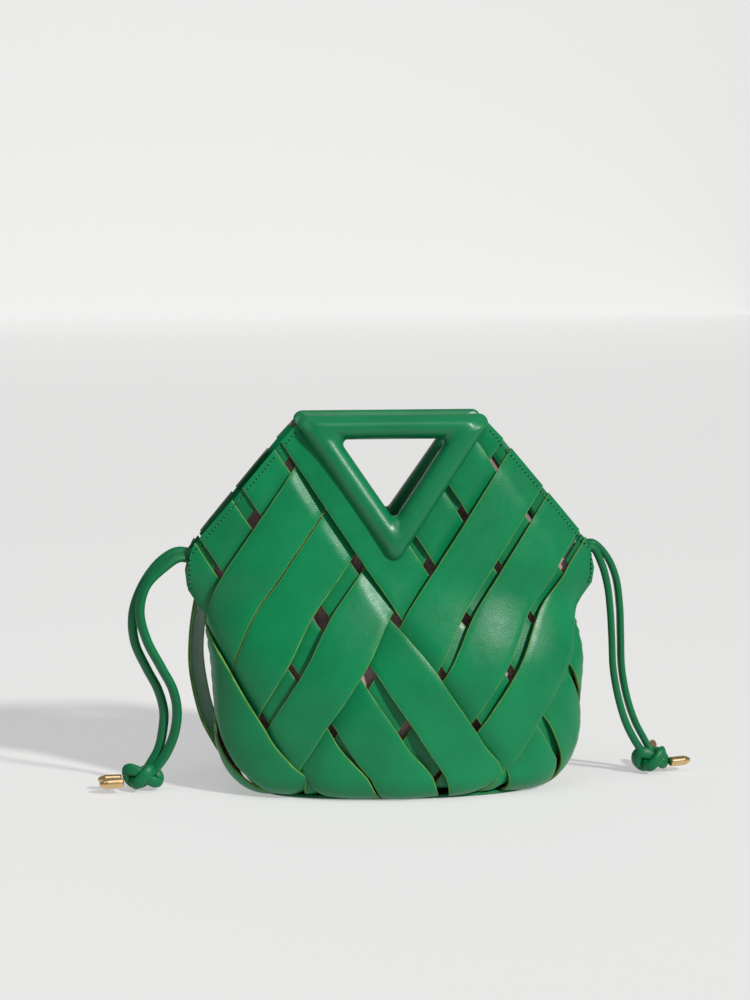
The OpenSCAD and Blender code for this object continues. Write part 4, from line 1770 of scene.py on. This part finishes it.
@dataclass
class ShoulderStrap:
    """The two-layer shoulder strap, which lies on its edge behind the bag."""

    finishes: Finishes
    stitcher: Stitcher
    width: float = 21.0
    layer: float = 1.3
    seam_in: float = 2.2

    def directions(self, line: Array) -> tuple[Array, Array]:
        """Width direction and flat direction of the strap along its line.

        Args:
            line: Points of the strap's middle.

        Returns:
            The width directions and the flat directions.
        """
        along = unit(np.gradient(line, axis=0))
        hung = smooth((np.abs(along[:, 2:]) - 0.35) / 0.4)
        level = mix(np.array([0.0, 0, 1]), np.array([0.47, 0.88, 0]), hung)
        wide = unit(level - (level * along).sum(1, keepdims=True) * along)
        kernel = np.ones(13) / 13
        pad = np.pad(wide, ((6, 6), (0, 0)), mode="edge")
        wide = np.stack([np.convolve(pad[:, k], kernel, mode="valid") for k in range(3)], axis=1)
        wide = unit(wide - (wide * along).sum(1, keepdims=True) * along)
        return wide, np.cross(along, wide)

    def ribbon(self, name: str, line: Array, near: float, far: float,
               materials: Sequence[bpy.types.Material]) -> bpy.types.Object:
        """One layer of the strap between two distances from its middle.

        Args:
            name: Name of the piece.
            line: Points of the strap's middle, in metres.
            near: Distance of its inner face from the middle, in millimetres.
            far: Distance of its outer face.
            materials: Materials of the faces and of the cut edges.

        Returns:
            The piece.
        """
        wide, flat = self.directions(line)
        half = self.width / 2
        across = np.array([-half, -half + 0.15, -half + 0.5, -half + 1, 0, half - 1, half - 0.5,
                           half - 0.15, half, half, half - 0.3, 0, -half + 0.3, -half])
        rise = np.array([0.55, 0.85, 0.97, 1, 1.03, 1, 0.97, 0.85, 0.55, 0.1, 0, 0, 0, 0.1])
        height = mix(near, far, rise)
        rings = (line[:, None] + wide[:, None] * across[None, :, None] * MM
                 + flat[:, None] * height[None, :, None] * MM)
        sides = len(across)
        edge_faces = {0, 1, 6, 7, 8, sides - 1}
        slots = [1 if j in edge_faces else 0 for _ in range(len(line) - 1) for j in range(sides)]
        piece = new_object(name, rings, swept_faces(len(line), sides, closed=False), materials,
                           slots + [1, 1])
        point_outwards(piece)
        return piece

    def build_all(self) -> None:
        line = smooth_line(STRAP_ROUTE, 0.0035)
        outer = self.ribbon("strap_outer_leather", line, 0.05, self.layer,
                            [self.finishes.face, self.finishes.edge])
        backing = self.ribbon("strap_backing_leather", line, -0.05, -self.layer,
                              [self.finishes.backing, self.finishes.edge])
        wide, flat = self.directions(line)
        lines = [line + wide * way * (self.width / 2 - self.seam_in) * MM + flat * face * MM
                 for way in (-1, 1) for face in (self.layer, -self.layer)]
        seams = self.stitcher.sew("strap_stitches", lines, pitch=3.4, thread=2.4, radius=0.24,
                                  hole=0.3)
        for piece, node, slot in ((outer, "strap_outer", "strip_leather"),
                                  (backing, "strap_backing", "strap_backing")):
            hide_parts(node)
        for piece in (outer, backing, seams):
            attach(piece, "basket")
        LOG.info("strap %s, %.0f mm", outer.name, line_length(line) / MM)


# ---------- studio ----------


@dataclass
class Studio:
    """Floor, light and camera."""

    distance: float = 2.0
    azimuth: float = -6.0
    camera_height: float = 0.445
    aim: tuple[float, float, float] = (-0.0105, 0.0, 0.206)
    lens: float = 102.9
    key_way: tuple[float, float, float] = (0.46, -0.60, 0.50)
    key_power: float = 3.4

    def camera(self) -> None:
        """Makes the camera."""
        data = bpy.data.cameras.new("camera")
        data.lens = self.lens
        data.sensor_width = 36.0
        camera = bpy.data.objects.new("camera", data)
        bpy.context.scene.collection.objects.link(camera)
        turn = math.radians(self.azimuth)
        rise = self.camera_height - self.aim[2]
        away = math.sqrt(self.distance**2 - rise**2)
        spot = Vector(self.aim) + Vector((math.sin(turn) * away, -math.cos(turn) * away, rise))
        camera.location = spot
        camera.rotation_mode = "QUATERNION"
        camera.rotation_quaternion = (Vector(self.aim) - spot).to_track_quat("-Z", "Y")
        bpy.context.scene.camera = camera

    def lamp(self, name: str, spot: Sequence[float], power: float, size: float) -> None:
        """Makes a soft square light that faces the bag.

        Args:
            name: Name of the light.
            spot: Where it stands, in metres.
            power: Power in watts.
            size: Side of the square, in metres.
        """
        data = bpy.data.lights.new(name, "AREA")
        data.energy = power
        data.size = size
        light = bpy.data.objects.new(name, data)
        light.location = spot
        light.rotation_mode = "QUATERNION"
        light.rotation_quaternion = (Vector((0, 0, 0.12)) - Vector(spot)).to_track_quat("-Z", "Y")
        bpy.context.scene.collection.objects.link(light)

    def sheet(self, name: str, corners: Sequence[Sequence[float]], glow: float) -> None:
        """Makes one flat sheet of paper from its four corners.

        Args:
            name: Name of the sheet.
            corners: Its four corners, in metres.
            glow: How much light of its own it gives off.
        """
        paper = new_object(name, np.array(corners), [(0, 1, 2, 3)],
                           [Paper(f"{name}_paper", 0.40, glow).make()], sharp=None)

    def room(self) -> None:
        """Makes the floor and the wall far behind it."""
        wide, near, far, tall = 1.7, -0.75, 6.0, 2.0
        self.sheet("floor", [(-wide, near, 0), (wide, near, 0), (wide, far, 0), (-wide, far, 0)],
                   0.40)
        self.sheet("wall", [(-wide, far, 0), (wide, far, 0), (wide, far, tall), (-wide, far, tall)],
                   0.37)

    def sun(self) -> None:
        """Makes the main light, which comes from the right and the front."""
        data = bpy.data.lights.new("key", "SUN")
        data.energy = self.key_power
        data.angle = math.radians(5)
        data.color = (1.0, 0.985, 0.96)
        light = bpy.data.objects.new("key", data)
        light.rotation_mode = "QUATERNION"
        light.rotation_quaternion = (-Vector(self.key_way)).to_track_quat("-Z", "Y")
        bpy.context.scene.collection.objects.link(light)

    def world(self) -> None:
        """Sets a pale, even surrounding."""
        world = bpy.data.worlds.new("studio")
        world.use_nodes = True
        world.node_tree.nodes["Background"].inputs["Color"].default_value = (1, 1, 1, 1)
        world.node_tree.nodes["Background"].inputs["Strength"].default_value = 0.24
        bpy.context.scene.world = world

    def build_all(self) -> None:
        """Makes the whole studio."""
        self.camera()
        self.room()
        self.world()
        self.sun()
        self.lamp("top", (-0.2, -0.7, 1.9), 8.0, 1.2)
        bpy.context.scene.view_settings.view_transform = "Standard"


def main() -> None:
    """Builds the bag in order."""
    logging.basicConfig(level=logging.INFO, format="%(name)s: %(message)s")
    Studio().build_all()
    finishes = Finishes()
    stitcher = Stitcher(finishes)
    DrawCords(finishes, stitcher).build_all()
    ShoulderStrap(finishes, stitcher).build_all()
    WovenStrips(finishes).build_all()
    Rim(finishes, stitcher).build_all()
    Handles(finishes, stitcher).build_all()
    Base(finishes).build_all()
    Pouch(finishes).build_all()


if __name__ == "__main__":
    main()
